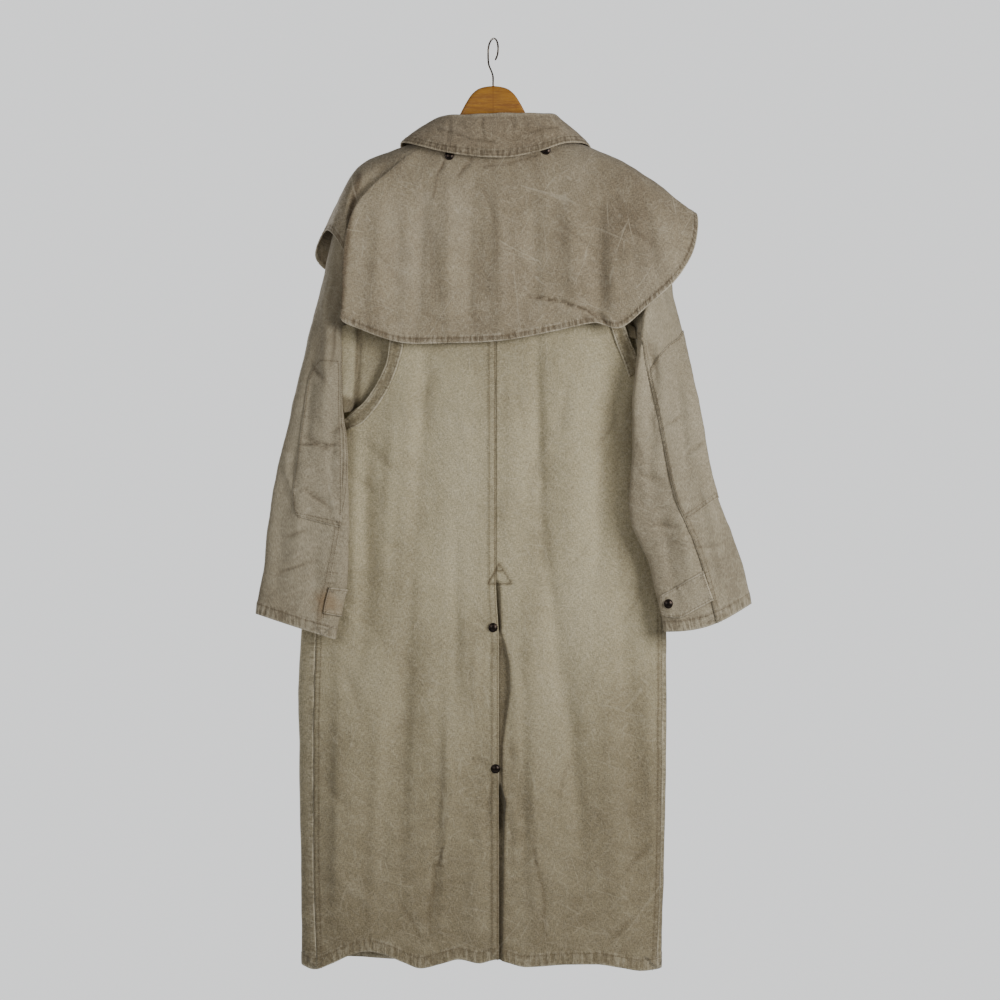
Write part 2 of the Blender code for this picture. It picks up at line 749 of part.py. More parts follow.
def build_fronts():
    """Makes both fronts. Each goes round the side to the back panel's seam."""
    downs = np.array(FRONT_DOWNS, float)[:, None]
    for name, side, inner in (
        ("front_left", -1, PLACKET_LEFT_EDGE),
        ("front_right", 1, PLACKET_RIGHT_EDGE),
    ):
        index = 1 if side < 0 else 2
        turn = 2 * math.pi if side < 0 else 0.0
        seam = smooth(column(BACK_EDGES, 0), column(BACK_EDGES, index), downs)
        armhole = smooth(column(FRONT_EDGES, 0), column(FRONT_EDGES, index), downs)
        open_share = ramp(downs, 605, 632)
        seam_angle = body_angle(seam, downs) + side * 2.2 * SEAM_GAP / 200
        armhole_angle = math.pi - body_angle(armhole, downs) - turn
        outer_angle = armhole_angle + (seam_angle - armhole_angle) * open_share
        inner_angle = math.pi - body_angle(inner + 0 * downs, downs) - turn
        share = np.linspace(0, 1, 12)[None, :]
        share = share - 0.06 * np.sin(2 * math.pi * share) * open_share
        angle = outer_angle + (inner_angle - outer_angle) * share
        x = body_point(angle, downs + 0 * angle)[..., 0]
        wrapped = np.cos(angle) > 0
        back_hem = smooth(column(BACK_HEM, 0), column(BACK_HEM, 1), x)
        hem = np.where(wrapped, back_hem, 1490 + 3 * np.sin(x / 31.0))
        down = shaped_down(x, downs + 0 * x, 2, hem)
        raised = 0.0
        if side < 0:
            raised = np.where(wrapped, 0.0, PLACKET_STEP * ramp(x, -60, -28))
        lift = np.zeros_like(x)
        lift[-2:, :] = HEM_LIFT
        body_wall(name, angle, down, raised, lift)


def outline_of(table, count, reach=0.0):
    """The outline between the two edges of a table, as pairs of x and down."""
    knots = np.arange(len(table))
    place = np.linspace(0, len(table) - 1, count)
    ends = [smooth(knots, column(table, index), place) for index in range(4)]
    first = [(x - reach, down) for x, down in zip(ends[0], ends[1])]
    second = [(x, down) for x, down in zip(ends[2], ends[3])]
    return first + second[::-1]


def build_armholes(left_back, right_back):
    """Makes the bands on the armhole edges and the gussets behind them."""
    for name, table, parent, reach in (
        ("armhole_band_left", LEFT_BAND, left_back, 5.0),
        ("armhole_band_right", RIGHT_BAND, right_back, -5.0),
    ):
        overlay(name, parent, outline_of(table, 13, reach), lambda down: 0.0, 1.4)
    for name, table in (("gusset_left", LEFT_GUSSET), ("gusset_right", RIGHT_GUSSET)):
        knots = np.arange(len(table))
        place = np.linspace(0, len(table) - 1, 8)
        near = np.stack([smooth(knots, column(table, i), place) for i in (0, 2, 1)], axis=-1)
        far = np.stack([smooth(knots, column(table, i), place) for i in (3, 5, 4)], axis=-1)
        share = np.linspace(0, 1, 6)[None, :, None]
        grid = near[:, None] + (far - near)[:, None] * share
        grid[..., 1] += np.sin(math.pi * share[..., 0]) * 6
        grid[..., 2] *= -1
        wall(name, grid, grid_normals(grid, (0, 1, 0)), thickness=1.2)


def build_sleeve(side, table, fold_table, hidden):
    """Makes the outer and the under piece of one sleeve."""
    band = len(table) - 1.42
    rows = np.linspace(0, band - 0.3, 16)
    rows = np.concatenate([rows, [band - 0.01, band + 0.01, len(table) - 1]])[:, None]
    seam = smooth(np.arange(len(table)), column(table, 8), rows)
    seam_angle = np.arccos(1 - 2 * seam)
    girth = np.hypot(column(table, 0) - column(table, 3), column(table, 1) - column(table, 4))
    girth = smooth(np.arange(len(table)), girth, rows)
    gap = SEAM_GAP * 1.2 / (girth / 2)
    hidden_angle = -math.acos(1 - 2 * hidden)
    pieces = (
        ("outer", seam_angle - gap, hidden_angle + gap, 10),
        ("under", seam_angle + gap, 2 * math.pi + hidden_angle - gap, 9),
    )
    made = {}

    def surface(at_row, at_angle):
        return sleeve_point(table, fold_table, at_row, at_angle)

    for name, start, end, count in pieces:
        share = np.linspace(0, 1, count)[None, :]
        angle = start + (end - start) * share
        row = rows + 0 * angle
        grid = surface(row, angle)
        middle = (surface(row, 0 * angle) + surface(row, 0 * angle + math.pi)) / 2
        near = np.clip(row, 0.06, len(table) - 1.06)
        normal = surface_normals(surface, near, angle, (0.05, 0.03), middle - grid)
        lift = np.where(row > band, HEM_LIFT, 0.0)
        made[name] = wall(f"sleeve_{side}_{name}", grid, normal, lift=lift)
    return made


def build_sleeve_trim(left, right):
    """Makes the elbow patches and the cuff tabs with their snaps."""

    def patch_limit(down):
        return float(smooth((505, 650, 700), (-22, -45, -45), down))

    overlay("elbow_patch_left", left["outer"], outline_of(LEFT_PATCH, 15), lambda down: -45.0, 1.2)
    outline = outline_of(RIGHT_PATCH, 13)
    half = len(outline) // 2
    outline = outline[:half] + [(x + 40, down - 12) for x, down in outline[half:]]
    overlay("elbow_patch_right", right["outer"], outline, patch_limit, 1.2)
    tab = overlay("cuff_tab_right", right["under"], outline_of(RIGHT_TAB, 9), lambda down: -58.0, 2.0)
    snap("cuff_snap_right", touch(tab, 279, 909, -1, SNAP_RADIUS), -1)

    outer, normal = (grid[14:16, :7] for grid in left["under"])
    tab = slab("cuff_tab_left", outer + normal * (LAYER_GAP + 2.0), outer + normal * LAYER_GAP, WORN_CANVAS)
    snap("cuff_snap_left", touch(tab, -262, 905, 1, SNAP_RADIUS), 1)


def curve_through(control, count):
    """Points on a smooth curve through rows of control points, evenly by row."""
    control = np.asarray(control, float)
    place = np.linspace(0, len(control) - 1, count)
    left = np.clip(np.floor(place).astype(int), 0, len(control) - 2)
    t = (place - left).reshape((-1,) + (1,) * (control.ndim - 1))
    before = 2 * control[:1] - control[1:2]
    after = 2 * control[-1:] - control[-2:-1]
    padded = np.concatenate([before, control, after])
    a, b, c, d = (padded[left + shift] for shift in range(4))
    straight = 2 * b + (c - a) * t
    bend = (2 * a - 5 * b + 4 * c - d) * t**2 + (3 * b - a - 3 * c + d) * t**3
    return 0.5 * (straight + bend)


def cape_grid(around, along):
    """The outside of the cape: the rows go round the hem, the columns run down."""
    control = np.array(CAPE, float).reshape(len(CAPE), 4, 3)
    across = curve_through(control, around)
    grid = curve_through(across.transpose(1, 0, 2), along).transpose(1, 0, 2)
    facing = np.clip(-grid[..., 1] - 40, 0, 12) / 12
    grid[..., 1] -= folds(CAPE_FOLDS, grid[..., 0], grid[..., 2]) * facing
    grid[..., 2] *= -1
    return grid


def build_cape():
    """Makes the shoulder cape."""
    grid = cape_grid(62, 8)
    inside = np.stack([-0.3 * grid[..., 0], -grid[..., 1], -0.4 * np.abs(grid[..., 0])], axis=-1)
    lift = np.zeros(grid.shape[:2])
    lift[:, -1] = 0.6
    wall("cape", grid, grid_normals(grid, inside), lift=lift, colour=CAPE_CANVAS)


def build_collar():
    """Makes the collar's fall and stand, and the snaps under its edge."""
    control = np.array(COLLAR, float).reshape(len(COLLAR), 2, 3)
    control[..., 2] *= -1
    line = curve_through(control, 36)
    share = np.linspace(0, 1, 5)[None, :, None]
    grid = line[:, :1] + (line[:, 1:] - line[:, :1]) * share
    outward = line[:, 1] - (6, 0, 0)
    outward[:, 2] = 60
    outward = outward / np.linalg.norm(outward, axis=-1, keepdims=True)
    grid = grid + outward[:, None] * (np.sin(math.pi * share) ** 0.8 * 4)
    inside = -np.broadcast_to(outward[:, None], grid.shape)
    normal = grid_normals(grid, inside)
    wall("collar_fall", grid, normal, thickness=COLLAR_CLOTH, colour=CAPE_CANVAS)

    bottom = np.array(COLLAR_STAND_BOTTOM, float)
    bottom[:, 2] *= -1
    bottom = curve_through(bottom, 36)
    top = line[:, 0].copy()
    top[:, 2] -= 3
    towards = np.array([6, 0, 0]) - top
    towards[:, 2] = 0
    towards = towards / np.linalg.norm(towards, axis=-1, keepdims=True)
    top = top + towards * 3.0
    share = np.linspace(0, 1, 3)[None, :, None]
    grid = top[:, None] + (bottom - top)[:, None] * share
    inside = np.broadcast_to(towards[:, None], grid.shape)
    wall("collar_stand", grid, grid_normals(grid, inside), thickness=1.8)

    cape = part_named("cape")
    snap("collar_snap_left", touch(cape, -70, 193, -1, SNAP_RADIUS), -1)
    snap("collar_snap_right", touch(cape, 85, 184, -1, SNAP_RADIUS), -1)


def build_closures():
    """Makes the snaps of the vent and of the front."""
    for name, x, down in VENT_SNAPS:
        snap(name, touch(part_named("back_left"), x, down, -1, SNAP_RADIUS), -1)
    for name, x, down in FRONT_SNAPS:
        snap(name, touch(part_named("front_left"), x, down, 1, SNAP_RADIUS), 1)


def build_hanger():
    """Makes the wooden hanger, bored for its hook, and the wire hook."""
    half = np.array(HANGER, float)
    stations = np.concatenate([half[:0:-1] * (-1, 1, 1), half])
    rings = []
    for x, top, bottom in stations:
        middle = -(top + bottom) / 2
        tall = (bottom - top) / 2
        ring = []
        for step in range(10):
            turn = 2 * math.pi * (step + 0.5) / 10
            depth = math.copysign(abs(math.cos(turn)) ** 0.6, math.cos(turn))
            height = math.copysign(abs(math.sin(turn)) ** 0.6, math.sin(turn))
            end = 0.7 if abs(x) > 185 else 1.0
            ring.append((x, HANGER_HALF_DEPTH * depth * end, middle + tall * height))
        rings.append(ring)
    wood = loft("hanger_wood", rings, AMBER_WOOD, 0.35)
    rings = []
    for down in (60.0, 106.0):
        ring = []
        for step in range(12):
            turn = 2 * math.pi * step / 12
            ring.append((WIRE_HOLE * math.cos(turn), WIRE_HOLE * math.sin(turn), -down))
        rings.append(ring)
    bore = loft("hook_bore", rings, AMBER_WOOD, 0.5)
    cut = wood.modifiers.new("bore", "BOOLEAN")
    cut.operation = "DIFFERENCE"
    cut.solver = "EXACT"
    cut.object = bore
    graph = bpy.context.evaluated_depsgraph_get()
    bored = bpy.data.meshes.new_from_object(wood.evaluated_get(graph))
    wood.modifiers.remove(cut)
    wood.data = bored
    bpy.data.objects.remove(bore)

    radius = HOOK_INNER_RADIUS + WIRE_RADIUS
    turned = math.radians(HOOK_TURN)
    across = np.array([-math.cos(turned), math.sin(turned), 0.0])
    path = []
    for degrees in range(-62, 181, 22):
        angle = math.radians(degrees)
        arm = np.array([0, 0, radius * math.sin(angle) - HOOK_INNER_RADIUS])
        path.append(arm - across * radius * math.cos(angle))
    lead = ((1.0, 24), (0.97, 32), (0.82, 40), (0.5, 47), (0.2, 54), (0.03, 60), (0, 66), (0, 104))
    path += [across * radius * share - (0, 0, down) for share, down in lead]
    path = np.array(path)
    tangent = np.gradient(path, axis=0)
    tangent = tangent / np.linalg.norm(tangent, axis=1, keepdims=True)
    sideways = np.cross(across, (0, 0, 1))
    rings = []
    for point, along in zip(path, tangent):
        up = np.cross(along, sideways)
        up = up / np.linalg.norm(up)
        ring = []
        for step in range(8):
            turn = 2 * math.pi * step / 8
            ring.append(point + WIRE_RADIUS * (sideways * math.cos(turn) + up * math.sin(turn)))
        rings.append(ring)
    loft("hanger_hook", rings, WIRE_METAL, 0.35, 0.9)


def main():
    """Clears the scene and builds the coat and its hanger."""
    for old in list(bpy.data.objects):
        bpy.data.objects.remove(old)
    build_hanger()
    left_back, right_back = build_back()
    build_fronts()
    build_armholes(left_back, right_back)
    left_sleeve = build_sleeve("left", LEFT_SLEEVE, LEFT_SLEEVE_FOLDS, 0.45)
    right_sleeve = build_sleeve("right", RIGHT_SLEEVE, RIGHT_SLEEVE_FOLDS, 0.45)
    build_sleeve_trim(left_sleeve, right_sleeve)
    build_cape()
    build_collar()
    build_closures()


main()
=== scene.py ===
"""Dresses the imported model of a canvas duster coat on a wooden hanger.

The coat hangs with its back towards minus Y. Tables and shape functions are in
millimetres, and "down" is the distance below the inside top of the hanger's hook,
which is the origin. Meshes are made in metres.
"""

import logging
import math
from dataclasses import dataclass, field
from enum import Enum

import bpy
import numpy as np
from mathutils.bvhtree import BVHTree
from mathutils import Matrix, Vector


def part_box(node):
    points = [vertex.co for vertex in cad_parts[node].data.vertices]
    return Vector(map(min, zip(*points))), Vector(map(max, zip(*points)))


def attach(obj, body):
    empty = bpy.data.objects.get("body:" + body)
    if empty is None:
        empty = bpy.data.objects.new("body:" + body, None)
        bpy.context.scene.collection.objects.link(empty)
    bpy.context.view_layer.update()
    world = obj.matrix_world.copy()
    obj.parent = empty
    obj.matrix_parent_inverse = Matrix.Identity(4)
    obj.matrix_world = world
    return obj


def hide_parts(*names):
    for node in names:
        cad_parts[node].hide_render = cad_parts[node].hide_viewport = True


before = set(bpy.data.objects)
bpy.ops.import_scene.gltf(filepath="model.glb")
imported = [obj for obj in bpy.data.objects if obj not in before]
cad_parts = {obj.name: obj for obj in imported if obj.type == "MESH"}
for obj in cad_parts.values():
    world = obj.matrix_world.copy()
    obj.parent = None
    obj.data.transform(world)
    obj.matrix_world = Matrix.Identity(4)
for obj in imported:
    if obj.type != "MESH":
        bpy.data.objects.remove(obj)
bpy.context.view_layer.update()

LOG = logging.getLogger("duster")
Array = np.ndarray
Table = tuple[tuple[float, ...], ...]
Colour = tuple[float, float, float, float]
Material = bpy.types.Material
Node = bpy.types.Node
Piece = bpy.types.Object
Socket = bpy.types.NodeSocket
Tree = bpy.types.NodeTree

# Sizes in millimetres, and powers of curves, that the solids have too
SEAM_GAP = 0.6
CENTRE_BACK = 5.0
VENT_TOP = 878.0
UNDERLAP = 20.0
PLACKET_LEFT_EDGE = 24.0
PLACKET_RIGHT_EDGE = -20.0
BODY_POWER = 3.2
SLEEVE_POWER = 0.75
NECK_HALF_WIDTH = 80.0
SHOULDER_ROUND = 12.0
SHOULDER_SEAM = 1.0
NECK_DEPTH = 40.0
SHOULDER_RISE = 60.0
# The body's first and last row before they bend to the shoulder line and the hem
TOP_ROW = 168.0
HEM_ROW = 1490.0
STRETCHED_TOP = 160.0
PER_METRE = 1000
# The distance between grid points on narrow pieces
FINE_STEP = 2.4
# The Y in metres from which lines are cast on the back
CAST_FROM = -0.4
# The sine of the angle round a sleeve between which creases begin to show
BACK_SHOWS = (-0.1, 0.35)

# down, left side, right side, back depth, front depth
BODY: Table = (
    (150, -300, 300, 44, 44), (400, -296, 292, 44, 44), (500, -286, 280, 43, 44), (560, -262, 262, 42, 44),
    (610, -248, 252, 42, 44), (650, -252, 254, 42, 44), (700, -266, 260, 42, 44), (760, -284, 267, 43, 44),
    (850, -301, 275, 43, 44), (950, -310, 280, 44, 45), (1067, -314, 280, 44, 46), (1190, -312, 279, 44, 46),
    (1312, -310, 277, 43, 45), (1500, -309, 271, 42, 44),
)

# down, left edge of the back panel, right edge of the back panel
BACK_EDGES: Table = (
    (150, -186, 186), (215, -188, 188.2), (256, -179.5, 189.4), (300, -174.5, 191.6), (400, -166, 195.4),
    (440, -162.4, 199), (466, -162, 212), (492, -166, 221), (520, -170, 232), (553, -184, 239), (586, -206, 243),
    (611, -234, 246), (640, -242, 247), (700, -250, 252), (850, -275, 267), (961, -284, 272), (1149, -288, 272),
    (1312, -288, 269), (1500, -282, 263),
)

# down, left edge of the front panels above the side seam, right edge of the same
FRONT_EDGES: Table = (
    (150, -186, 186), (215, -188, 188.2), (300, -180, 191.6), (400, -192, 202), (450, -222, 226), (492, -235, 236),
    (553, -240, 240), (611, -244, 244),
)

# x, top of the back, top of the front
TOP_LINE: Table = (
    (0, 168, 196), (40, 166, 188), (65, 163, 172), (80, 161, 161), (100, 165, 165), (150, 181, 181),
    (190, 205, 205), (200, 213, 213),
)

# x, down: the hem of the back
BACK_HEM: Table = (
    (-309, 1492), (-288, 1498), (-259, 1488), (-227, 1473), (-202, 1467), (-178, 1471), (-145, 1484), (-116, 1494),
    (-80, 1486), (-55, 1480), (-22, 1486), (6, 1480), (20, 1484), (53, 1492), (122, 1488), (163, 1488), (204, 1494),
    (240, 1500), (271, 1498),
)

# down, right edge of the opening beside the vent, how far the underlap lies in
VENT_GAP: Table = (
    (835, 5.2, 0.0), (860, 5.2, 3.0), (890, 9, 5.0), (950, 11, 5.0), (975, 17, 5.5), (1010, 24, 6.0),
    (1045, 25, 6.0), (1080, 21, 5.5), (1150, 13, 5.0), (1205, 13, 5.0), (1230, 18, 5.5), (1255, 16, 5.0),
    (1400, 14, 5.0), (1500, 13, 5.0),
)

# x at top, x at bottom, top, bottom, half width, height (out is positive)
BACK_FOLDS: Table = (
    (-105, -108, 470, 880, 22, -5.0), (-137, -173, 930, 1330, 21, -6.5), (66, 68, 450, 860, 18, -4.5),
    (101, 142, 880, 1320, 21, -7.0), (198, 170, 540, 850, 20, -7.5), (212, 246, 940, 1360, 20, -7.5),
    (-204, -200, 620, 990, 15, -8.0), (-75, -74, 1030, 1360, 26, 6.5), (-152, -140, 500, 920, 26, 4.5),
    (24, 30, 480, 850, 22, 3.5), (125, 132, 500, 920, 26, 5.5), (228, 216, 600, 900, 16, 4.0),
    (62, 74, 900, 1460, 22, 5.5), (-222, -244, 980, 1480, 28, 6.5), (182, 204, 980, 1480, 24, 6.5),
    (-40, -32, 880, 1130, 22, 4.0), (-24, -30, 1240, 1490, 16, 4.0), (40, 36, 1000, 1200, 12, 3.5),
)

# The same columns for the fronts.
FRONT_FOLDS: Table = (
    (-150, -160, 420, 900, 26, 5.0), (-90, -84, 500, 1100, 22, -5.0), (-200, -215, 850, 1480, 26, 6.0),
    (-60, -70, 1000, 1490, 24, 5.0), (90, 84, 450, 1000, 22, -5.0), (150, 165, 420, 950, 26, 5.0),
    (70, 80, 1000, 1490, 24, 5.5), (190, 210, 900, 1480, 24, -6.0), (-140, -150, 1050, 1480, 18, -5.5),
)

# x outer, down outer, y outer, x inner, down inner, y inner, half depth, sag,
# seam place on the back (0 at the outer edge, 1 at the inner edge)
LEFT_SLEEVE: Table = (
    (-188.5, 221, -2, -162.8, 452, -2, 34, 0, 0.985), (-220, 231, -2, -216, 464, -4, 34, 0, 0.985),
    (-238, 262, -3, -236, 478, -10, 34, 0, 0.985), (-256, 312, -4, -243, 500, -18, 33, 0, 0.985),
    (-273, 378, -7, -243, 528, -26, 31, 0, 0.985), (-284, 430, -12, -241, 560, -36, 28, 0, 0.985),
    (-298, 484, -20, -238, 600, -48, 25, 0, 0.985), (-313, 556, -36, -234, 645, -57, 21, 0, 0.985),
    (-326, 616, -46, -231, 685, -60, 18, 0, 0.985), (-342, 681, -53, -230, 728, -60, 17, 0, 0.97),
    (-352, 735, -57, -230, 770, -60, 17, 0, 0.92), (-360, 795, -59, -230, 820, -60, 17, 0, 0.86),
    (-366, 850, -60, -232, 868, -60, 17, 0, 0.81), (-374, 894, -60, -241, 915, -60, 17, 0, 0.79),
    (-378, 925, -60, -252, 966, -60, 17, 0, 0.83),
)
RIGHT_SLEEVE: Table = (
    (189, 219, -2, 198.7, 452, -2, 34, 0, 0.985), (225, 231, -2, 213, 464, -6, 34, 0, 0.985),
    (252, 256, -3, 227, 480, -22, 34, 0, 0.985), (272, 300, -4, 231, 505, -50, 32, 0, 0.92),
    (284, 360, -6, 228, 530, -58, 28, 0, 0.80), (291, 412, -10, 224, 560, -61, 25, 0, 0.72),
    (303, 467, -22, 222, 610, -62, 22, 0, 0.64), (313, 513, -34, 222, 656, -62, 20, 0, 0.58),
    (325, 570, -46, 219, 700, -62, 18, 0, 0.53), (337, 637, -54, 217, 745, -62, 17, 0, 0.49),
    (349, 705, -58, 222, 785, -61, 17, 0, 0.46), (364, 754, -60, 235, 815, -61, 17, 0, 0.44),
    (382, 800, -60, 250, 850, -60, 17, 3, 0.43), (398, 845, -60, 259, 890, -60, 17, 7, 0.42),
    (411, 909, -60, 275, 954, -60, 17, 13, 0.40),
)

# The columns of the body's folds, for each sleeve.
LEFT_SLEEVE_FOLDS: Table = (
    (-262, -270, 400, 640, 9, 5.0), (-285, -300, 480, 700, 8, -4.5), (-250, -262, 560, 780, 8, -4.0),
    (-300, -318, 640, 900, 12, 5.0), (-275, -292, 780, 950, 10, -4.0), (-336, -345, 720, 920, 9, -3.5),
)
RIGHT_SLEEVE_FOLDS: Table = (
    (262, 272, 430, 620, 9, 5.0), (248, 252, 520, 760, 9, -4.5), (292, 312, 520, 740, 9, -4.0),
    (284, 318, 680, 900, 12, 5.0), (262, 296, 740, 930, 9, -4.0), (335, 368, 700, 880, 9, 4.0),
)

# Four points a row, from the neck to the hem: x, y, down of each.
CAPE: Table = (
    (-40, 47, 188, -54, 57, 252, -62, 60, 320, -66, 61, 384),
    (-64, 38, 174, -104, 57, 240, -130, 63, 320, -146, 64, 398),
    (-78, 22, 163, -142, 44, 214, -192, 56, 300, -216, 60, 394),
    (-84, 15, 157, -162, 33, 192, -232, 39, 262, -270, 34, 372),
    (-86, 5, 154, -164, 12, 182, -236, 14, 240, -289, 14, 346),
    (-86, -2, 156, -162, -4, 180, -223, -6, 214, -273, -6, 313),
    (-86, -7, 157, -160, -18, 183, -226, -34, 226, -259, -46, 316),
    (-85, -12, 158, -158, -30, 190, -226, -54, 250, -238, -66, 347),
    (-84, -16, 159, -154, -38, 196, -219, -55, 276, -229, -57, 384),
    (-83, -20, 160, -150, -43, 201, -217, -60, 290, -231, -60, 430),
    (-81, -24, 161, -146, -48, 206, -226, -71, 296, -242, -73, 456),
    (-74, -30, 164, -128, -53, 228, -190, -66, 340, -212, -68, 472),
    (-56, -38, 167, -92, -55, 240, -128, -62, 360, -148, -64, 493),
    (-30, -43, 169, -46, -56, 250, -64, -61, 366, -78, -62, 494),
    (6, -45.5, 170, 8, -57, 250, 10, -61, 370, 14, -63, 490),
    (40, -43, 169, 60, -56, 250, 80, -61, 360, 97, -63, 475),
    (64, -38, 167, 104, -54, 240, 138, -61, 352, 162, -65, 462),
    (78, -28, 163, 138, -49, 222, 184, -62, 330, 203, -69, 470),
    (85, -20, 160, 154, -42, 204, 222, -64, 296, 248, -77, 434),
    (88, -12, 158, 158, -30, 188, 240, -56, 256, 294, -76, 390),
    (89, -6, 156, 160, -16, 179, 244, -38, 230, 322, -60, 340),
    (89, 0, 155, 160, -2, 176, 242, -10, 218, 327, -32, 285),
    (89, 6, 156, 160, 14, 180, 238, 22, 230, 300, 12, 300), (86, 16, 159, 150, 34, 200, 214, 50, 280, 252, 50, 364),
    (80, 28, 165, 134, 52, 226, 176, 60, 310, 196, 61, 396),
    (70, 38, 174, 110, 57, 240, 134, 63, 320, 144, 64, 398), (52, 47, 188, 62, 57, 252, 70, 60, 320, 76, 61, 384),
)

# x at top, x at bottom, top, bottom, half width, height
CAPE_FOLDS: Table = (
    (-74, -70, 220, 500, 20, 4.0), (-118, -122, 240, 500, 16, -3.5), (8, 14, 215, 500, 24, 4.5),
    (-32, -36, 230, 480, 15, -3.0), (62, 66, 230, 500, 18, -3.0), (128, 134, 230, 480, 20, 4.0),
    (188, 196, 260, 490, 14, 4.5), (-180, -190, 250, 480, 16, 4.0), (160, 172, 300, 490, 11, -3.5),
)

# x, y, down of the fold, then x, y, down of the free edge
COLLAR: Table = (
    (-34, 55, 172, -92, 70, 250), (-62, 45, 152, -134, 63, 214), (-84, 24, 138, -148, 35, 177),
    (-90, 0, 130, -150, 3, 170), (-86, -25, 128, -140, -35, 170.6), (-64, -42, 127, -84, -57.8, 187),
    (-30, -51, 127, -37, -61.8, 195), (6, -53, 126, 3, -63.8, 198), (40, -51, 125, 36, -61.8, 196),
    (74, -42, 124, 78, -57.8, 186), (97, -25, 124, 118, -45, 172.6), (104, 0, 127, 154, 0, 170),
    (98, 24, 138, 158, 32, 186), (78, 45, 152, 146, 63, 216), (48, 55, 172, 104, 70, 250),
)
COLLAR_STAND_BOTTOM: Table = (
    (-36, 43, 181), (-58, 33, 165), (-72, 18, 154), (-77, 0, 149), (-73, -17, 153), (-55, -30, 162.2),
    (-27, -38.2, 166.2), (6, -40.2, 167.2), (36, -37, 165.6), (63, -27, 161.8), (77, -16, 154), (83, 0, 149),
    (82, 18, 153), (69, 33, 165), (48, 43, 181),
)

# x outer edge, down, then x inner edge, down: the armhole bands
LEFT_BAND: Table = (
    (-162, 440, -140, 440), (-163, 468, -142, 470), (-166, 492, -144, 496), (-170, 520, -151, 523),
    (-184, 553, -164, 558), (-206, 586, -186, 594), (-232, 609, -212, 621),
)
RIGHT_BAND: Table = (
    (198, 436, 178, 440), (206, 452, 185, 457), (211, 466, 191, 473), (220, 489, 199, 497), (230, 513, 210, 523),
    (237, 538, 218, 547),
)

# x, down and y beside the armhole, then x, down and y beside the sleeve
LEFT_GUSSET: Table = (
    (-152, 426, -34, -238.5, 464, -38), (-154, 470, -34, -241.6, 494, -36), (-157, 500, -33, -242.0, 524, -38),
    (-166, 534, -31, -240.8, 552, -45), (-184, 563, -28, -239.0, 573, -48), (-202, 585, -20, -237.4, 591, -49),
    (-220, 600, -9, -236.4, 604, -49),
)
RIGHT_GUSSET: Table = (
    (184, 436, -28, 224.5, 466, -44), (194, 456, -26, 226.2, 476, -48), (199, 468, -22, 227, 482, -51),
    (203, 476, -18, 227, 486, -53),
)

# x, down along the left side, then x, down along the right side: the elbow patches
LEFT_PATCH: Table = (
    (-272, 520, -249, 520), (-286, 530, -247, 531), (-294, 548, -246, 552), (-304, 617, -243, 617),
    (-309, 656, -241, 657), (-318, 738, -240, 742), (-317, 755, -241, 766), (-308, 771, -243, 788),
)
RIGHT_PATCH: Table = (
    (266, 523, 306, 506), (272, 562, 316, 545), (281, 619, 326, 606), (290, 679, 338, 660), (305, 732, 350, 712),
    (316, 770, 359, 750),
)

# x, down on the upper edge, then x, down on the lower edge: the right cuff tab
RIGHT_TAB: Table = (
    (334, 857, 350, 903), (311, 870, 324, 917), (289, 884, 296, 931), (274, 892, 280, 930), (267, 897, 270, 925),
)

# x, top, bottom of half of the hanger's wood
HANGER: Table = (
    (0, 75, 124), (10, 76, 125), (22, 79, 129), (34, 88, 134), (44, 103, 142), (52, 118, 150), (62, 137, 162),
    (72, 156.8, 175), (84, 167, 186), (100, 167.6, 195), (130, 176.6, 205), (160, 189.4, 217), (174, 198.4, 224),
    (182, 204.6, 226), (186, 211, 223),
)

# x and down of the corners of the stitched triangle at the top of the vent
VENT_TACK: Table = ((10, 846), (-8, 878), (30, 878), (10, 846), (4, 857), (16, 857))

# x and down of the fine dark tack lines low on the back
STRAP_TACKS: tuple[Table, ...] = (
    ((-80, 1300), (-86, 1326)), ((-95, 1328), (-79, 1330)), ((65, 1303), (71, 1329)),
)
# x and down of the elbow patch's cross dart, of the gusset's deep fold and of its nook, where shade is painted in
# the fold and the nook
LEFT_DART: Table = ((-306, 655), (-280, 657), (-262, 655), (-246, 658))
GUSSET_FOLD: Table = ((-212, 440), (-217, 520), (-218, 596))
GUSSET_NOOK: Table = ((-239, 588), (-223, 590), (-231, 599), (-238, 605))
# down, share of the vent's recess and how much shade is painted beside the left flap's edge
VENT_DEPTH: Table = (
    (835, 0.0, 0.0), (868, 0.2, 0.0), (884, 1.4, 0.5), (944, 1.4, 0.5), (962, 0.6, 0.2), (985, 1.2, 1.0),
    (1080, 1.2, 1.0), (1110, 0.8, 0.7), (1195, 0.7, 0.4), (1212, 2.6, 1.0), (1254, 2.6, 1.0), (1285, 1.4, 0.9),
    (1490, 1.2, 0.9),
)
# x and down of the lines along the creases of the cape and the collar, where shade is painted
CAPE_CREASE_LINE: Table = ((56, 419), (80, 421), (112, 428), (148, 440), (164, 452))
CAPE_NECK_LINES: tuple[Table, ...] = (
    ((-77, 202), (-88, 221), (-95, 262)), ((-34, 198), (-44, 208), (-54, 226)), ((-14, 212), (20, 208), (74, 192)),
)
COLLAR_LINES: tuple[Table, ...] = (
    ((-88, 151), (-66, 157), (-29, 170), (-10, 171), (6, 175)), ((29, 131), (30, 140), (34, 149)),
    ((-72, 157), (-72, 172)), ((62, 158), (84, 150), (104, 148)),
)
# x and down of the cape's deep left fold, where shade is painted
CAPE_FOLD_LINE: Table = ((-214, 226), (-226, 280), (-234, 350), (-243, 452))

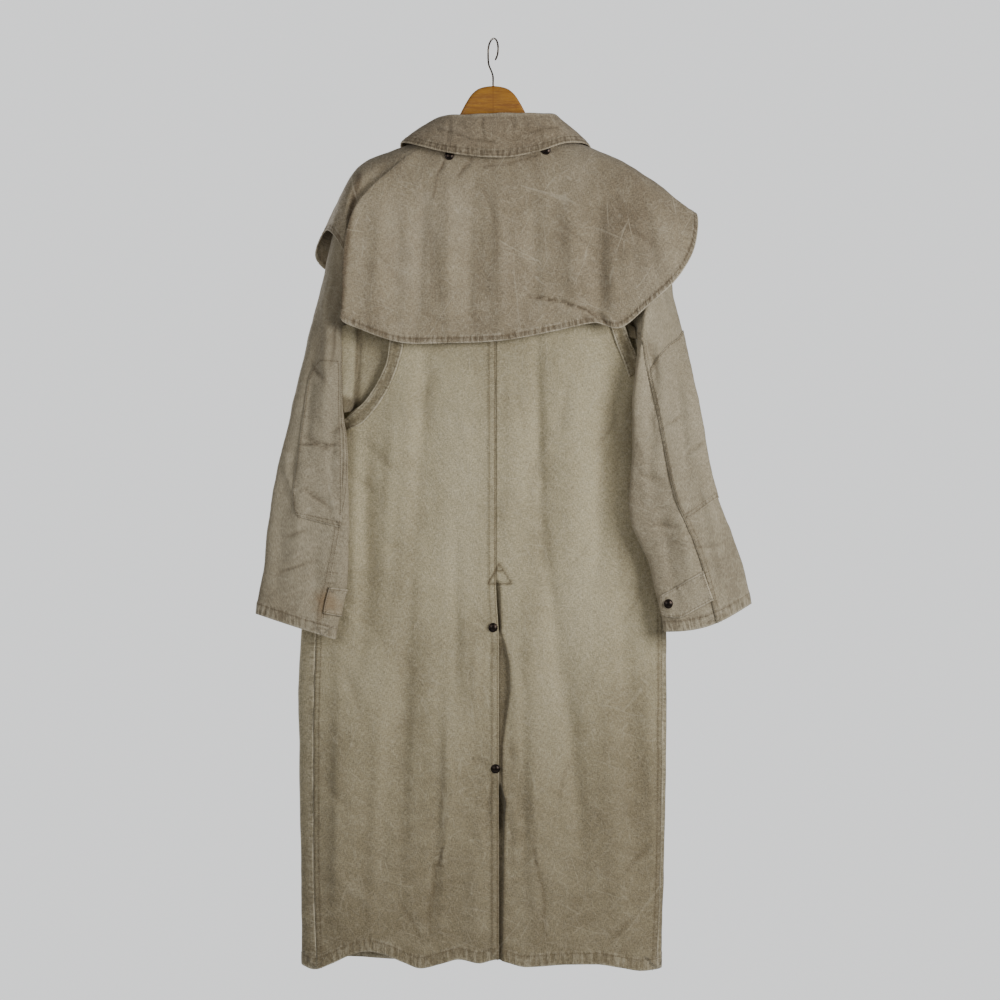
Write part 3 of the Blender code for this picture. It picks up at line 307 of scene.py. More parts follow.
# Creases: x and down of one end, x and down of the other, half width, height (out is positive).
BACK_CREASES: Table = (
    (-82, 1298, -88, 1330, 3.5, -1.2), (-78, 1296, -83, 1332, 3, 1.2), (-112, 1322, -70, 1306, 4, 1.4),
    (-74, 1106, -75, 1300, 3.5, 1.3), (-82, 1116, -82, 1300, 5, -0.9), (-90, 1320, -100, 1452, 9, -1.4),
    (64, 1298, 70, 1332, 3.5, -1.2), (69, 1298, 76, 1332, 3, 1.2), (44, 1324, 88, 1308, 4, 1.4),
    (62, 1236, 64, 1306, 3, -1.0), (70, 1180, 68, 1300, 5, 0.9), (68, 1322, 84, 1450, 9, -1.4),
    (-34, 928, -6, 946, 5, -1.3), (-48, 958, -8, 950, 6, -1.0), (0, 958, -6, 1020, 6, -1.2),
    (-20, 962, -26, 1080, 7, 1.2), (-38, 1158, -6, 1172, 5, -1.3), (-24, 1204, 0, 1180, 5, 1.1),
    (2, 1184, -8, 1262, 6, -1.2), (-30, 1240, -14, 1330, 7, 1.1), (30, 966, 44, 1090, 8, 1.6),
    (26, 1120, 34, 1190, 6, -1.2), (28, 1210, 40, 1330, 7, 1.4), (-214, 640, -150, 700, 9, -1.4),
    (-236, 700, -176, 742, 8, -1.3), (-150, 560, -120, 660, 10, 1.3), (-96, 520, -110, 640, 9, -1.1),
    (-60, 560, -44, 690, 10, 1.0), (-180, 800, -120, 842, 9, -1.0), (-262, 900, -206, 960, 10, 1.3),
    (-240, 1010, -200, 1120, 10, -1.2), (-276, 1180, -226, 1240, 9, -1.1), (-190, 1220, -150, 1300, 9, 1.0),
    (-262, 1330, -190, 1392, 10, 1.1), (-150, 1380, -110, 1456, 9, -1.2), (206, 600, 160, 668, 9, -1.4),
    (236, 690, 190, 750, 9, 1.2), (120, 540, 104, 640, 10, -1.1), (84, 640, 66, 760, 9, 1.0),
    (40, 540, 52, 640, 8, -0.9), (166, 800, 110, 860, 9, -1.0), (250, 880, 206, 950, 10, -1.2),
    (180, 980, 140, 1090, 10, 1.1), (250, 1110, 212, 1200, 9, 1.1), (130, 1150, 104, 1240, 9, -1.1),
    (256, 1290, 200, 1350, 10, -1.1), (170, 1370, 118, 1430, 9, 1.1), (230, 1410, 180, 1462, 9, -1.0),
)
# Long soft folds of the cloth alone: x at top, x at bottom, top, bottom, half width, height.
BACK_DRAPE: Table = (
    (-107, -134, 440, 960, 11, -3.6), (-134, -150, 860, 1420, 12, -3.0), (68, 78, 430, 860, 9, -3.4),
    (78, 112, 760, 1100, 11, -3.2), (112, 150, 1000, 1400, 12, -3.0), (206, 160, 500, 900, 13, -3.4),
    (-61, -58, 760, 1100, 9, -2.2), (-84, -96, 1000, 1450, 9, -2.4), (206, 232, 900, 1440, 12, -3.2),
    (-206, -214, 620, 1040, 12, -3.4), (-246, -252, 980, 1440, 10, 2.6), (44, 52, 960, 1420, 10, -2.4),
    (-180, -196, 1040, 1450, 10, 2.4), (246, 262, 1000, 1450, 9, 2.2), (-158, -176, 560, 900, 10, 2.0),
)
CAPE_DRAPE: Table = (
    (-72, -70, 200, 500, 9, 2.2), (-108, -124, 230, 500, 10, -2.8), (-40, -34, 240, 500, 9, -1.8),
    (10, 14, 210, 500, 10, 2.2), (62, 70, 240, 440, 12, -2.4), (118, 132, 230, 470, 13, 2.4),
    (168, 176, 260, 470, 10, -2.6), (206, 214, 250, 430, 10, 2.2), (240, 262, 270, 400, 9, -2.2),
    (-176, -190, 250, 470, 12, 2.2), (-148, -156, 260, 480, 9, -2.0),
)
FRONT_CREASES: Table = (
    (-200, 520, -140, 620, 11, -1.6), (-120, 700, -80, 860, 11, 1.6), (-230, 900, -180, 1050, 12, 1.8),
    (-100, 1080, -70, 1260, 10, -1.6), (-240, 1250, -190, 1380, 11, -1.5), (210, 540, 150, 640, 11, -1.6),
    (110, 660, 90, 820, 11, 1.5), (220, 860, 170, 1000, 12, -1.7), (100, 1060, 120, 1230, 10, 1.5),
    (230, 1230, 180, 1370, 11, 1.6), (60, 1300, 90, 1440, 9, -1.3),
)
CAPE_CREASES: Table = (
    (56, 419, 112, 428, 3.6, -3.2), (60, 427, 114, 436, 4.5, 2.2), (104, 425, 150, 441, 3.6, -2.8),
    (148, 439, 188, 468, 5.0, -3.2), (152, 449, 180, 471, 5.0, 1.8), (-77, 200, -86, 226, 4.0, -1.3),
    (-32, 198, -59, 226, 4.0, -1.3), (-62, 262, -20, 300, 7.0, 1.0), (-150, 290, -112, 410, 9.0, 1.2),
    (-196, 330, -150, 400, 8.0, -1.2), (-96, 300, -88, 440, 9.0, -1.2), (-40, 330, -30, 470, 9.0, 1.1),
    (24, 330, 60, 386, 7.0, -1.1), (60, 250, 130, 300, 8.0, 1.1), (100, 300, 166, 352, 7.0, -1.2),
    (150, 240, 214, 300, 8.0, 1.2), (200, 300, 262, 346, 8.0, -1.2), (228, 350, 286, 366, 6.0, 1.0),
    (172, 380, 232, 420, 7.0, 1.1), (-20, 240, 6, 320, 8.0, -1.0), (30, 400, 96, 412, 6.0, 1.0),
    (-130, 430, -70, 470, 7.0, -1.0), (-216, 260, -176, 300, 8.0, 1.1), (120, 350, 180, 386, 6.0, 0.9),
)
COLLAR_CREASES: Table = (
    (-98, 158, -36, 171, 3.5, -1.2), (-71, 134, -72, 178, 4.0, -0.8), (-18, 130, -16, 172, 4.0, -0.8),
    (29, 128, 34, 152, 4.0, -1.0), (-88, 148, -28, 167, 3.0, 0.9), (60, 140, 96, 160, 4.0, 0.9),
    (-50, 140, -30, 156, 4.0, 0.9), (4, 150, 44, 168, 4.0, -0.8),
)
LEFT_SLEEVE_CREASES: Table = (
    (-258, 372, -276, 470, 7, 1.8), (-250, 430, -262, 540, 6, -1.8), (-292, 520, -262, 560, 7, -1.6),
    (-300, 600, -258, 620, 6, 1.4), (-306, 640, -248, 668, 5, -2.0), (-314, 690, -262, 706, 6, 1.5),
    (-318, 720, -256, 760, 6, -1.7), (-330, 664, -316, 740, 6, 1.5), (-290, 790, -340, 806, 6, -1.6),
    (-266, 800, -330, 842, 6, 1.6), (-276, 840, -352, 868, 6, -1.6), (-300, 880, -356, 900, 6, 1.3),
    (-262, 700, -246, 780, 5, 1.2), (-280, 868, -316, 930, 7, 1.2), (-236, 620, -262, 640, 5, -1.4),
)
RIGHT_SLEEVE_CREASES: Table = (
    (258, 360, 280, 460, 7, 1.8), (240, 470, 262, 560, 6, -1.7), (277, 624, 299, 608, 4, -2.2),
    (270, 634, 294, 618, 4, 1.4), (308, 667, 338, 651, 4, -2.2), (306, 676, 334, 662, 4, 1.4),
    (290, 560, 322, 590, 6, 1.4), (226, 640, 262, 690, 6, 1.5), (224, 700, 272, 716, 6, -1.7),
    (236, 742, 292, 752, 6, 1.6), (240, 780, 300, 784, 6, -1.8), (262, 810, 330, 806, 6, 1.5),
    (312, 820, 372, 812, 6, -1.5), (336, 846, 388, 840, 6, 1.3), (246, 600, 262, 660, 5, -1.3),
    (330, 720, 352, 760, 6, 1.4),
)


class Edge(Enum):
    """The four edges of a cloth panel's grid."""

    TOP = "first row"
    BOTTOM = "last row"
    FIRST = "first column"
    LAST = "last column"


def smooth(knots: Array, values: Array, at: Array) -> Array:
    """Reads a table with a smooth curve that never overshoots.

    Args:
        knots: The places of the table's rows.
        values: The values there.
        at: The places to read.

    Returns:
        The values at those places.
    """
    knots = np.asarray(knots, float)
    values = np.asarray(values, float)
    step = np.diff(knots)
    rise = np.diff(values) / step
    slope = np.zeros_like(values)
    product = rise[:-1] * rise[1:]
    total = rise[:-1] + rise[1:]
    safe = np.where(np.abs(total) > 1e-12, total, 1.0)
    slope[1:-1] = np.where(product > 0, 2 * product / safe, 0.0)
    slope[0] = rise[0]
    slope[-1] = rise[-1]
    at = np.clip(np.asarray(at, float), knots[0], knots[-1])
    place = np.clip(np.searchsorted(knots, at, side="right") - 1, 0, len(step) - 1)
    t = (at - knots[place]) / step[place]
    h = step[place]
    start = (2 * t**3 - 3 * t**2 + 1) * values[place]
    leave = (t**3 - 2 * t**2 + t) * h * slope[place]
    end = (-2 * t**3 + 3 * t**2) * values[place + 1]
    arrive = (t**3 - t**2) * h * slope[place + 1]
    return start + leave + end + arrive


def column(table: Table, index: int) -> Array:
    """One column of a table."""
    return np.array([row[index] for row in table], float)


def read(table: Table, index: int, at: Array) -> Array:
    """Reads one column of a table whose first column is the place."""
    return smooth(column(table, 0), column(table, index), at)


def ramp(value: Array, low: float, high: float) -> Array:
    """Rises smoothly from 0 at low to 1 at high."""
    t = np.clip((np.asarray(value, float) - low) / (high - low), 0, 1)
    return t * t * (3 - 2 * t)


def unit(vectors: Array) -> Array:
    """Vectors of length one."""
    return vectors / np.maximum(np.linalg.norm(vectors, axis=-1, keepdims=True), 1e-12)


def folds(table: Table, x: Array, down: Array) -> Array:
    """The height of all long folds of a table.

    Args:
        table: Rows of x at top, x at bottom, top, bottom, half width and height.
        x: Places across.
        down: Places down.

    Returns:
        The height there, out from the body.
    """
    total = np.zeros(np.broadcast(x, down).shape)
    for x_top, x_bottom, top, bottom, width, height in table:
        t = np.clip((down - top) / (bottom - top), 0, 1)
        middle = x_top + (x_bottom - x_top) * t
        along = np.sin(math.pi * t) ** 0.8
        total = total + height * along * np.exp(-(((x - middle) / width) ** 2))
    return total


def creases(table: Table, x: Array, down: Array) -> Array:
    """The height of short creases, each a soft ridge or trough that wanders.

    Args:
        table: Rows of x, down, x, down of the two ends, half width and height.
        x: Places across.
        down: Places down.

    Returns:
        The height there, out from the cloth.
    """
    total = np.zeros(np.broadcast(x, down).shape)
    for number, (x1, down1, x2, down2, width, height) in enumerate(table):
        run_x, run_down = x2 - x1, down2 - down1
        length = math.hypot(run_x, run_down)
        t = ((x - x1) * run_x + (down - down1) * run_down) / length**2
        away = ((x - x1) * run_down - (down - down1) * run_x) / length
        wander = math.sin(number * 2.4) * length * 0.05 * np.sin(math.pi * t)
        wander = wander + 0.012 * length * np.sin(9 * t + number)
        along = np.sin(math.pi * np.clip(t, 0, 1)) ** 0.7
        side = (away - wander) / width
        profile = np.exp(-(side**2)) - 0.35 * np.exp(-((side - 1.6) ** 2))
        total = total + height * along * profile
    return total


def crease_marks(table: Table, x: Array, down: Array) -> tuple[Array, Array]:
    """How shade is painted in the troughs of a table's creases, and how their ridges are rubbed.

    Args:
        table: Rows of a table of creases.
        x: Places across.
        down: Places down.

    Returns:
        How much shade is painted in the troughs, and how pale the ridges.
    """
    narrow = tuple((*row[:4], row[4] * 0.5, row[5]) for row in table)
    height = creases(narrow, x, down)
    return 0.34 * np.clip(-height, 0, None), 0.16 * np.clip(height, 0, None)


def crumple(x: Array, down: Array, scale: float, seed: int) -> Array:
    """An even field of small soft dents, made of many turned waves.

    Args:
        x: Places across.
        down: Places down.
        scale: The usual width of a dent in millimetres.
        seed: Picks the pattern.

    Returns:
        Heights of about plus or minus one.
    """
    random = np.random.default_rng(seed)
    total = np.zeros(np.broadcast(x, down).shape)
    for _ in range(14):
        turn = random.uniform(0, math.pi)
        wave = scale * random.uniform(0.7, 2.2)
        bend_turn = random.uniform(0, math.pi)
        bend = random.uniform(0.6, 1.4)
        phase = random.uniform(0, 2 * math.pi)
        across = x * math.cos(turn) + down * math.sin(turn)
        other = x * math.cos(bend_turn) + down * math.sin(bend_turn)
        total = total + np.sin(2 * math.pi * across / wave + bend * np.sin(other / scale) + phase)
    return total / 5.0


def body_frame(down: Array) -> tuple[Array, Array]:
    """The middle and half width of the body at a height."""
    left, right = read(BODY, 1, down), read(BODY, 2, down)
    return (left + right) / 2, (right - left) / 2


def body_angle(x: Array, down: Array) -> Array:
    """The angle round the back half at which the body has this x."""
    middle, half = body_frame(down)
    return np.arcsin(np.clip((x - middle) / half, -1, 1))


def body_point(angle: Array, down: Array, lift: Array | float = 0.0) -> Array:
    """A point on the outside of the body.

    Args:
        angle: The angle round it: the back where its cosine is over 0, else the front.
        down: The place down.
        lift: How far out of the table's surface.

    Returns:
        The point.
    """
    middle, half = body_frame(down)
    share = np.sin(angle)
    x = middle + half * share
    back = np.cos(angle) > 0
    table_top = np.where(back, read(TOP_LINE, 1, np.abs(x)), read(TOP_LINE, 2, np.abs(x)))
    full = np.where(back, read(BODY, 3, down), read(BODY, 4, down))
    neck = np.sqrt(np.clip(1 - (x / NECK_HALF_WIDTH) ** 2, 0, 1))
    rim = SHOULDER_SEAM + (NECK_DEPTH - SHOULDER_SEAM) * neck
    below = np.clip(down - table_top, 0, None)
    turned = 1 - np.clip(below / SHOULDER_ROUND, 0, 1)
    cap = SHOULDER_ROUND * np.sqrt(1 - turned**2) * (1 - neck)
    full_rise = full - rim - SHOULDER_ROUND * (1 - neck)
    depth = rim + cap + full_rise * (1 - np.exp(-below / SHOULDER_RISE))
    turn = np.clip(1 - np.abs(share) ** BODY_POWER, 0, 1) ** (1 / BODY_POWER)
    flat = 1 - np.abs(share) ** 8
    bump = np.where(back, folds(BACK_FOLDS, x, down), folds(FRONT_FOLDS, x, down))
    out = depth * turn + (bump + lift) * flat
    y = np.where(back, -out, out)
    return np.stack([x, y, -down * np.ones_like(x)], axis=-1)


def shaped_down(x: Array, down: Array, top_column: int, hem: Array) -> Array:
    """Bends the first rows to the shoulder line and the last rows to the hem.

    Args:
        x: Places across.
        down: Places down.
        top_column: The column of the shoulder line to read.
        hem: How far down the hem lies at each place.

    Returns:
        The places down with both ends bent.
    """
    top = read(TOP_LINE, top_column, np.abs(x))
    at_top = np.clip(1 - (down - TOP_ROW) / STRETCHED_TOP, 0, 1)
    at_hem = ramp(down, 1300, 1469)
    return down + (top - TOP_ROW) * at_top + (hem - HEM_ROW) * at_hem


def sleeve_point(table: Table, fold_table: Table, row: Array, angle: Array) -> Array:
    """A point on the outside of a sleeve.

    Args:
        table: The sleeve's rows.
        fold_table: Its long folds.
        row: The place along the sleeve, in rows of the table.
        angle: 0 at the outer edge and pi at the inner edge, on the back between.

    Returns:
        The point.
    """
    rows = np.arange(len(table))
    x_out, down_out, y_out, x_in, down_in, y_in, depth, sag = (
        smooth(rows, column(table, index), row) for index in range(8)
    )
    share = (1 - np.cos(angle)) / 2
    x = x_out + (x_in - x_out) * share
    down = down_out + (down_in - down_out) * share + sag * np.sin(math.pi * share)
    middle = y_out + (y_in - y_out) * share
    side = np.sin(angle)
    reach = np.sign(side) * np.abs(side) ** SLEEVE_POWER
    bump = folds(fold_table, x, down) * side
    y = middle - depth * reach - np.where(side > 0, bump, bump * 0.5)
    return np.stack([x, y, -down], axis=-1)


def sleeve_find(table: Table, x: Array, down: Array) -> tuple[Array, Array]:
    """Where the back of a sleeve has this x and down.

    Args:
        table: The sleeve's rows.
        x: Places across.
        down: Places down.

    Returns:
        The rows and the angles.
    """
    row = np.full(np.shape(x), len(table) / 2.0)
    share = np.full(np.shape(x), 0.5)

    def place(at_row: Array, at_share: Array) -> tuple[Array, Array]:
        """The x and down at a row and a share across."""
        point = sleeve_point(table, (), at_row, np.arccos(1 - 2 * at_share))
        return point[..., 0], -point[..., 2]

    for _ in range(40):
        here_x, here_down = place(row, share)
        row_x, row_down = place(row + 0.01, share)
        share_x, share_down = place(row, share + 0.001)
        a = (row_x - here_x) / 0.01
        b = (share_x - here_x) / 0.001
        c = (row_down - here_down) / 0.01
        d = (share_down - here_down) / 0.001
        wide = a * d - b * c
        wide = np.where(np.abs(wide) < 1e-6, 1e-6, wide)
        miss_x = x - here_x
        miss_down = down - here_down
        row = row + 0.7 * np.clip((d * miss_x - b * miss_down) / wide, -2, 2)
        share = share + 0.7 * np.clip((a * miss_down - c * miss_x) / wide, -0.2, 0.2)
        row = np.clip(row, 0, len(table) - 1.02)
        share = np.clip(share, 0.004, 0.99)
    return row, np.arccos(1 - 2 * share)


def curve_through(control: Array, count: int) -> Array:
    """Points on a smooth curve through rows of control points, evenly by row.

    Args:
        control: Rows of control points.
        count: How many points to make.

    Returns:
        The points on the curve.
    """
    control = np.asarray(control, float)
    place = np.linspace(0, len(control) - 1, count)
    left = np.clip(np.floor(place).astype(int), 0, len(control) - 2)
    t = (place - left).reshape((-1,) + (1,) * (control.ndim - 1))
    before = 2 * control[:1] - control[1:2]
    after = 2 * control[-1:] - control[-2:-1]
    padded = np.concatenate([before, control, after])
    a, b, c, d = (padded[left + shift] for shift in range(4))
    straight = 2 * b + (c - a) * t
    bend = (2 * a - 5 * b + 4 * c - d) * t**2 + (3 * b - a - 3 * c + d) * t**3
    return 0.5 * (straight + bend)


def grid_normals(grid: Array, inside: Array) -> Array:
    """The outward directions of a grid of points.

    Args:
        grid: Points, rows by columns by three.
        inside: Directions that point inwards, for the side to choose.

    Returns:
        Unit directions.
    """
    along = np.gradient(grid, axis=0)
    across = np.gradient(grid, axis=1)
    normal = unit(np.cross(along, across))
    inside = np.broadcast_to(np.asarray(inside, float), normal.shape)
    return -normal if (normal * inside).sum() > 0 else normal


def strip(table: Table, along: int, across: int) -> tuple[Array, Array]:
    """The grid of a narrow piece between its two long edges.

    Args:
        table: Rows of x and down on one edge, then on the other.
        along: Grid points along it.
        across: Grid points across it.

    Returns:
        The x and the down of each point.
    """
    rows = np.linspace(0, len(table) - 1, along)[:, None]
    x1, down1, x2, down2 = (smooth(np.arange(len(table)), column(table, index), rows) for index in range(4))
    share = np.linspace(0, 1, across)[None, :]
    return x1 + (x2 - x1) * share, down1 + (down2 - down1) * share


def to_mesh(name: str, points: Array, faces: list[tuple[int, ...]]) -> bpy.types.Mesh:
    """A smooth mesh in metres from points in millimetres.

    Args:
        name: The name of the new piece.
        points: Points in millimetres.
        faces: The point numbers of each face.

    Returns:
        The mesh.
    """
    mesh = bpy.data.meshes.new(name)
    mesh.from_pydata((np.asarray(points, float) / PER_METRE).tolist(), [], faces)
    mesh.polygons.foreach_set("use_smooth", [True] * len(mesh.polygons))
    mesh.update()
    return mesh


def to_object(name: str, mesh: bpy.types.Mesh, material: Material) -> Piece:
    """Links a new object with one material into the scene.

    Args:
        name: The name of the new piece.
        mesh: The piece's mesh.
        material: The piece's finish.

    Returns:
        The new object.
    """
    piece = bpy.data.objects.new(name, mesh)
    bpy.context.scene.collection.objects.link(piece)
    mesh.materials.clear()
    mesh.materials.append(material)
    return piece


def signed_volume(points: Array, faces: list[tuple[int, ...]]) -> float:
    """Six times the volume inside a closed mesh, negative if it is inside out.

    Args:
        points: Points in millimetres.
        faces: The point numbers of each face.

    Returns:
        Six times the volume.
    """
    total = 0.0
    for size in {len(face) for face in faces}:
        chosen = np.array([face for face in faces if len(face) == size])
        for second in range(1, size - 1):
            a, b, c = points[chosen[:, 0]], points[chosen[:, second]], points[chosen[:, second + 1]]
            total += float(np.einsum("ij,ij->i", a, np.cross(b, c)).sum())
    return total


@dataclass(frozen=True)
class Seam:
    """A sewn edge or line of a panel.

    Attributes:
        edge: The edge that it follows.
        rows: How far in each row of stitches lies, in millimetres.
        band: The width that is doubled over.
        lift: How far the doubled cloth stands out.
        pucker: The height of its puckers.
        period: The usual distance between puckers.
        wear: How pale its ridges are worn, and how strongly shade is painted in its pucker troughs and along its
            stitch rows.
        start: How far in from the edge the band begins.
    """

    edge: Edge
    rows: tuple[float, ...]
    band: float = 12.0
    lift: float = 0.6
    pucker: float = 0.4
    period: float = 10.0
    wear: float = 1.0
    start: float = 0.0


@dataclass
class ClothPanel:
    """One cut piece of cloth: a closed wall on a grid of points.

    Attributes:
        name: The piece's name.
        grid: Points of its outside, rows by columns by three, in millimetres.
        inside: Directions that point inwards.
        thickness: The cloth's thickness.
        seams: Its sewn edges.
        relief: Height of creases and folds over the grid.
        wear: Paleness from wear, 0 to 1, over the grid.
        soil: Darkness from soiling and from painted shade, 0 to 1, over the grid.
        seed: Shifts the puckers.
        upright: Whether the weave stands upright instead of following the grid.
        outer: Points of its outside with all relief.
        normal: Directions out of it there.
        right: How far each point lies from the first column, along the cloth.
        below: How far each point lies from the first row, along the cloth.
        worn: Paleness with what the seams add.
        dirt_and_shade_total: Darkness with what the seams add, which is painted shade.
        sewn: How near a seam each point lies, 0 to 1.
        place: How far along the nearest seam each point lies, and how far in from it.
    """

    name: str
    grid: Array
    inside: Array
    thickness: float = 1.6
    seams: tuple[Seam, ...] = ()
    relief: Array | float = 0.0
    wear: Array | float = 0.0
    soil: Array | float = 0.0
    seed: float = 0.0
    upright: bool = False
    outer: Array = field(init=False)
    normal: Array = field(init=False)
    right: Array = field(init=False)
    below: Array = field(init=False)
    worn: Array = field(init=False)
    dirt_and_shade_total: Array = field(init=False)
    sewn: Array = field(init=False)
    place: Array = field(init=False)

    def __post_init__(self) -> None:
        """Measures the grid and lays the seams on it."""
        across = np.linalg.norm(np.diff(self.grid, axis=1), axis=-1)
        along = np.linalg.norm(np.diff(self.grid, axis=0), axis=-1)
        self.right = np.pad(np.cumsum(across, axis=1), ((0, 0), (1, 0)))
        self.below = np.pad(np.cumsum(along, axis=0), ((1, 0), (0, 0)))
        shape = self.grid.shape[:2]
        height = np.zeros(shape) + self.relief
        self.worn = np.zeros(shape) + self.wear
        self.dirt_and_shade_total = np.zeros(shape) + self.soil
        self.sewn = np.zeros(shape)
        self.place = np.full(shape + (2,), 900.0)
        for number, seam in enumerate(self.seams):
            height = height + self._sew(seam, self.seed + number * 1.7)
        base = grid_normals(self.grid, self.inside)
        self.outer = self.grid + base * height[..., None]
        self.normal = grid_normals(self.outer, self.inside)

    def reach(self, edge: Edge) -> tuple[Array, Array]:
        """How far each point lies in from an edge, and how far along it.

        Args:
            edge: The edge to measure from.

        Returns:
            The distances in from the edge, and along it.
        """
        if edge is Edge.TOP:
            return self.below, self.right[:1] + 0 * self.below
        if edge is Edge.BOTTOM:
            return self.below[-1:] - self.below, self.right[-1:] + 0 * self.below
        if edge is Edge.FIRST:
            return self.right, self.below[:, :1] + 0 * self.right
        return self.right[:, -1:] - self.right, self.below[:, -1:] + 0 * self.right

    def _sew(self, seam: Seam, seed: float) -> Array:
        """Adds one seam's wear and its painted shade, and gives back its height.

        Args:
            seam: The seam.
            seed: Shifts its puckers.

        Returns:
            The height that the seam adds.
        """
        inset, along = self.reach(seam.edge)
        inset = inset - seam.start
        closer = np.abs(inset) < self.place[..., 1]
        self.place[closer] = np.stack([along + 300 * seed, np.abs(inset)], axis=-1)[closer]
        taper = 1 - ramp(np.abs(inset - seam.band * 0.5), seam.band * 0.45, seam.band * 0.5 + 5)
        self.sewn = np.maximum(self.sewn, taper * (0.3 + 0.7 * seam.wear))
        phase = 2 * math.pi * along / seam.period + 1.5 * np.sin(along / 37 + seed)
        phase = phase + 0.9 * np.sin(along / 15.3 + 2 * seed) + 0.14 * inset
        wave = np.sin(phase)
        strength = 0.6 + 0.25 * np.sin(along / 23 + seed) + 0.25 * np.sin(along / 9.7 + 3 * seed)
        near = np.exp(-(((inset - seam.band * 0.5) / (seam.band * 0.72)) ** 2))
        doubled = ramp(inset, -1.5, 0.0) * (1 - ramp(inset, seam.band - 0.6, seam.band + 2.4))
        ridge = 0.4 * np.exp(-(((inset - seam.band) / 1.8) ** 2)) + np.exp(-((inset / 2.3) ** 2))
        patchy = 0.66 + 0.34 * np.sin(along / 11 + 3 * seed) * np.sin(along / 29)
        pale = near * (0.06 + 0.2 * np.clip(wave, 0, 1) * strength) + ridge * patchy
        self.worn = np.clip(self.worn + seam.wear * pale, 0, 1)
        # Painted shade in the troughs of the puckers.
        self.dirt_and_shade_total = np.clip(self.dirt_and_shade_total + near * 0.4 * seam.wear * np.clip(-wave, 0, 1) * strength, 0, 1)
        # Painted shade along each row of stitches, where the rows also dent the cloth.
        dent = np.zeros_like(inset)
        for row in seam.rows:
            dent = dent + np.exp(-(((inset - row) / 1.6) ** 2))
        self.dirt_and_shade_total = np.clip(self.dirt_and_shade_total + (0.25 + 0.45 * seam.wear) * dent, 0, 1)
        return seam.lift * doubled + seam.pucker * wave * strength * near - 0.22 * dent

    def at(self, row: Array, place: Array, raised: float = 0.25) -> Array:
        """Points on the outside at fractional rows and columns.

        Args:
            row: Rows, with fractions.
            place: Columns, with fractions.
            raised: How far out of the surface, in millimetres.

        Returns:
            The points.
        """
        rows, columns = self.outer.shape[:2]
        row = np.clip(row, 0, rows - 1.001)
        place = np.clip(place, 0, columns - 1.001)
        a, b = np.floor(row).astype(int), np.floor(place).astype(int)
        s, t = (row - a)[..., None], (place - b)[..., None]
        lifted = self.outer + self.normal * raised
        top = lifted[a, b] * (1 - t) + lifted[a, b + 1] * t
        bottom = lifted[a + 1, b] * (1 - t) + lifted[a + 1, b + 1] * t
        return top * (1 - s) + bottom * s

    def line(self, edge: Edge, inset: float) -> Array:
        """A line along an edge, for stitches.

        Args:
            edge: The edge that it follows.
            inset: How far in from it, in millimetres.

        Returns:
            Points on the outside.
        """
        reach, _ = self.reach(edge)
        if edge in (Edge.TOP, Edge.BOTTOM):
            places, numbers = self._crossings(reach.T, inset, edge is Edge.BOTTOM)
            return self.at(places, numbers)
        places, numbers = self._crossings(reach, inset, edge is Edge.LAST)
        return self.at(numbers, places)

    @staticmethod
    def _crossings(reach: Array, inset: float, backwards: bool) -> tuple[Array, Array]:
        """Where each row of distances comes to the inset, and the rows' own numbers.

        Args:
            reach: Distances, with a row for each place along the edge.
            inset: The distance to find.
            backwards: Whether each row is read from its end.

        Returns:
            The places within the rows, and the rows' numbers.
        """
        reach = reach[:, ::-1] if backwards else reach
        steps = np.arange(reach.shape[1])
        found = np.array([np.interp(inset, row, steps) for row in reach])
        return (steps[-1] - found if backwards else found), np.arange(len(reach), dtype=float)

    def stitch_lines(self) -> list[Array]:
        """The stitch lines of all seams."""
        return [self.line(seam.edge, seam.start + row) for seam in self.seams for row in seam.rows]

    @staticmethod
    def _quads(numbers: Array) -> Array:
        """The four corners of each cell of a grid of point numbers."""
        corners = numbers[:-1, :-1], numbers[:-1, 1:], numbers[1:, 1:], numbers[1:, :-1]
        return np.stack(corners, axis=-1).reshape(-1, 4)

    @staticmethod
    def _rim(numbers: Array) -> list[int]:
        """The point numbers round the edge of a grid."""
        return [*numbers[0], *numbers[1:, -1], *numbers[-1, -2::-1], *numbers[-2:0:-1, 0]]

    @staticmethod
    def _both(values: Array) -> Array:
        """Values of the outside's points, then of the half as many inside."""
        wide = values.shape[2:]
        return np.concatenate([values.reshape(-1, *wide), values[::2, ::2].reshape(-1, *wide)])

    def build(self, material: Material) -> Piece:
        """Makes the closed wall, its outside fine and its inside half as fine.

        Args:
            material: The cloth's finish.

        Returns:
            The new object.
        """
        rows, columns = self.outer.shape[:2]
        inner = (self.outer - self.normal * self.thickness)[::2, ::2]
        high, wide = inner.shape[:2]
        points = np.concatenate([self.outer.reshape(-1, 3), inner.reshape(-1, 3)])
        number = np.arange(rows * columns).reshape(rows, columns)
        under = rows * columns + np.arange(high * wide).reshape(high, wide)
        faces = self._quads(number).tolist() + self._quads(under)[:, ::-1].tolist()
        ring, back = self._rim(number), self._rim(under)
        for place in range(len(back)):
            first, middle, last = (ring[(2 * place + step) % len(ring)] for step in range(3))
            faces.append((last, middle, first, back[place], back[(place + 1) % len(back)]))
        faces = [tuple(int(place) for place in face) for face in faces]
        if signed_volume(points, faces) < 0:
            faces = [face[::-1] for face in faces]
        mesh = to_mesh(self.name + "_cloth", points, faces)
        flat = np.stack([self.right, -self.below], axis=-1) / PER_METRE
        if self.upright:
            x, y, z = (self.grid[..., index] for index in range(3))
            flat = np.stack([x + 0.45 * np.abs(y) * np.sign(x), z + 0.3 * y], axis=-1) / PER_METRE
        loops = np.zeros(len(mesh.loops), np.int32)
        mesh.loops.foreach_get("vertex_index", loops)
        for word, values in (("cloth", flat), ("seam", self.place / PER_METRE)):
            mesh.uv_layers.new(name=word).data.foreach_set("uv", self._both(values)[loops].ravel())
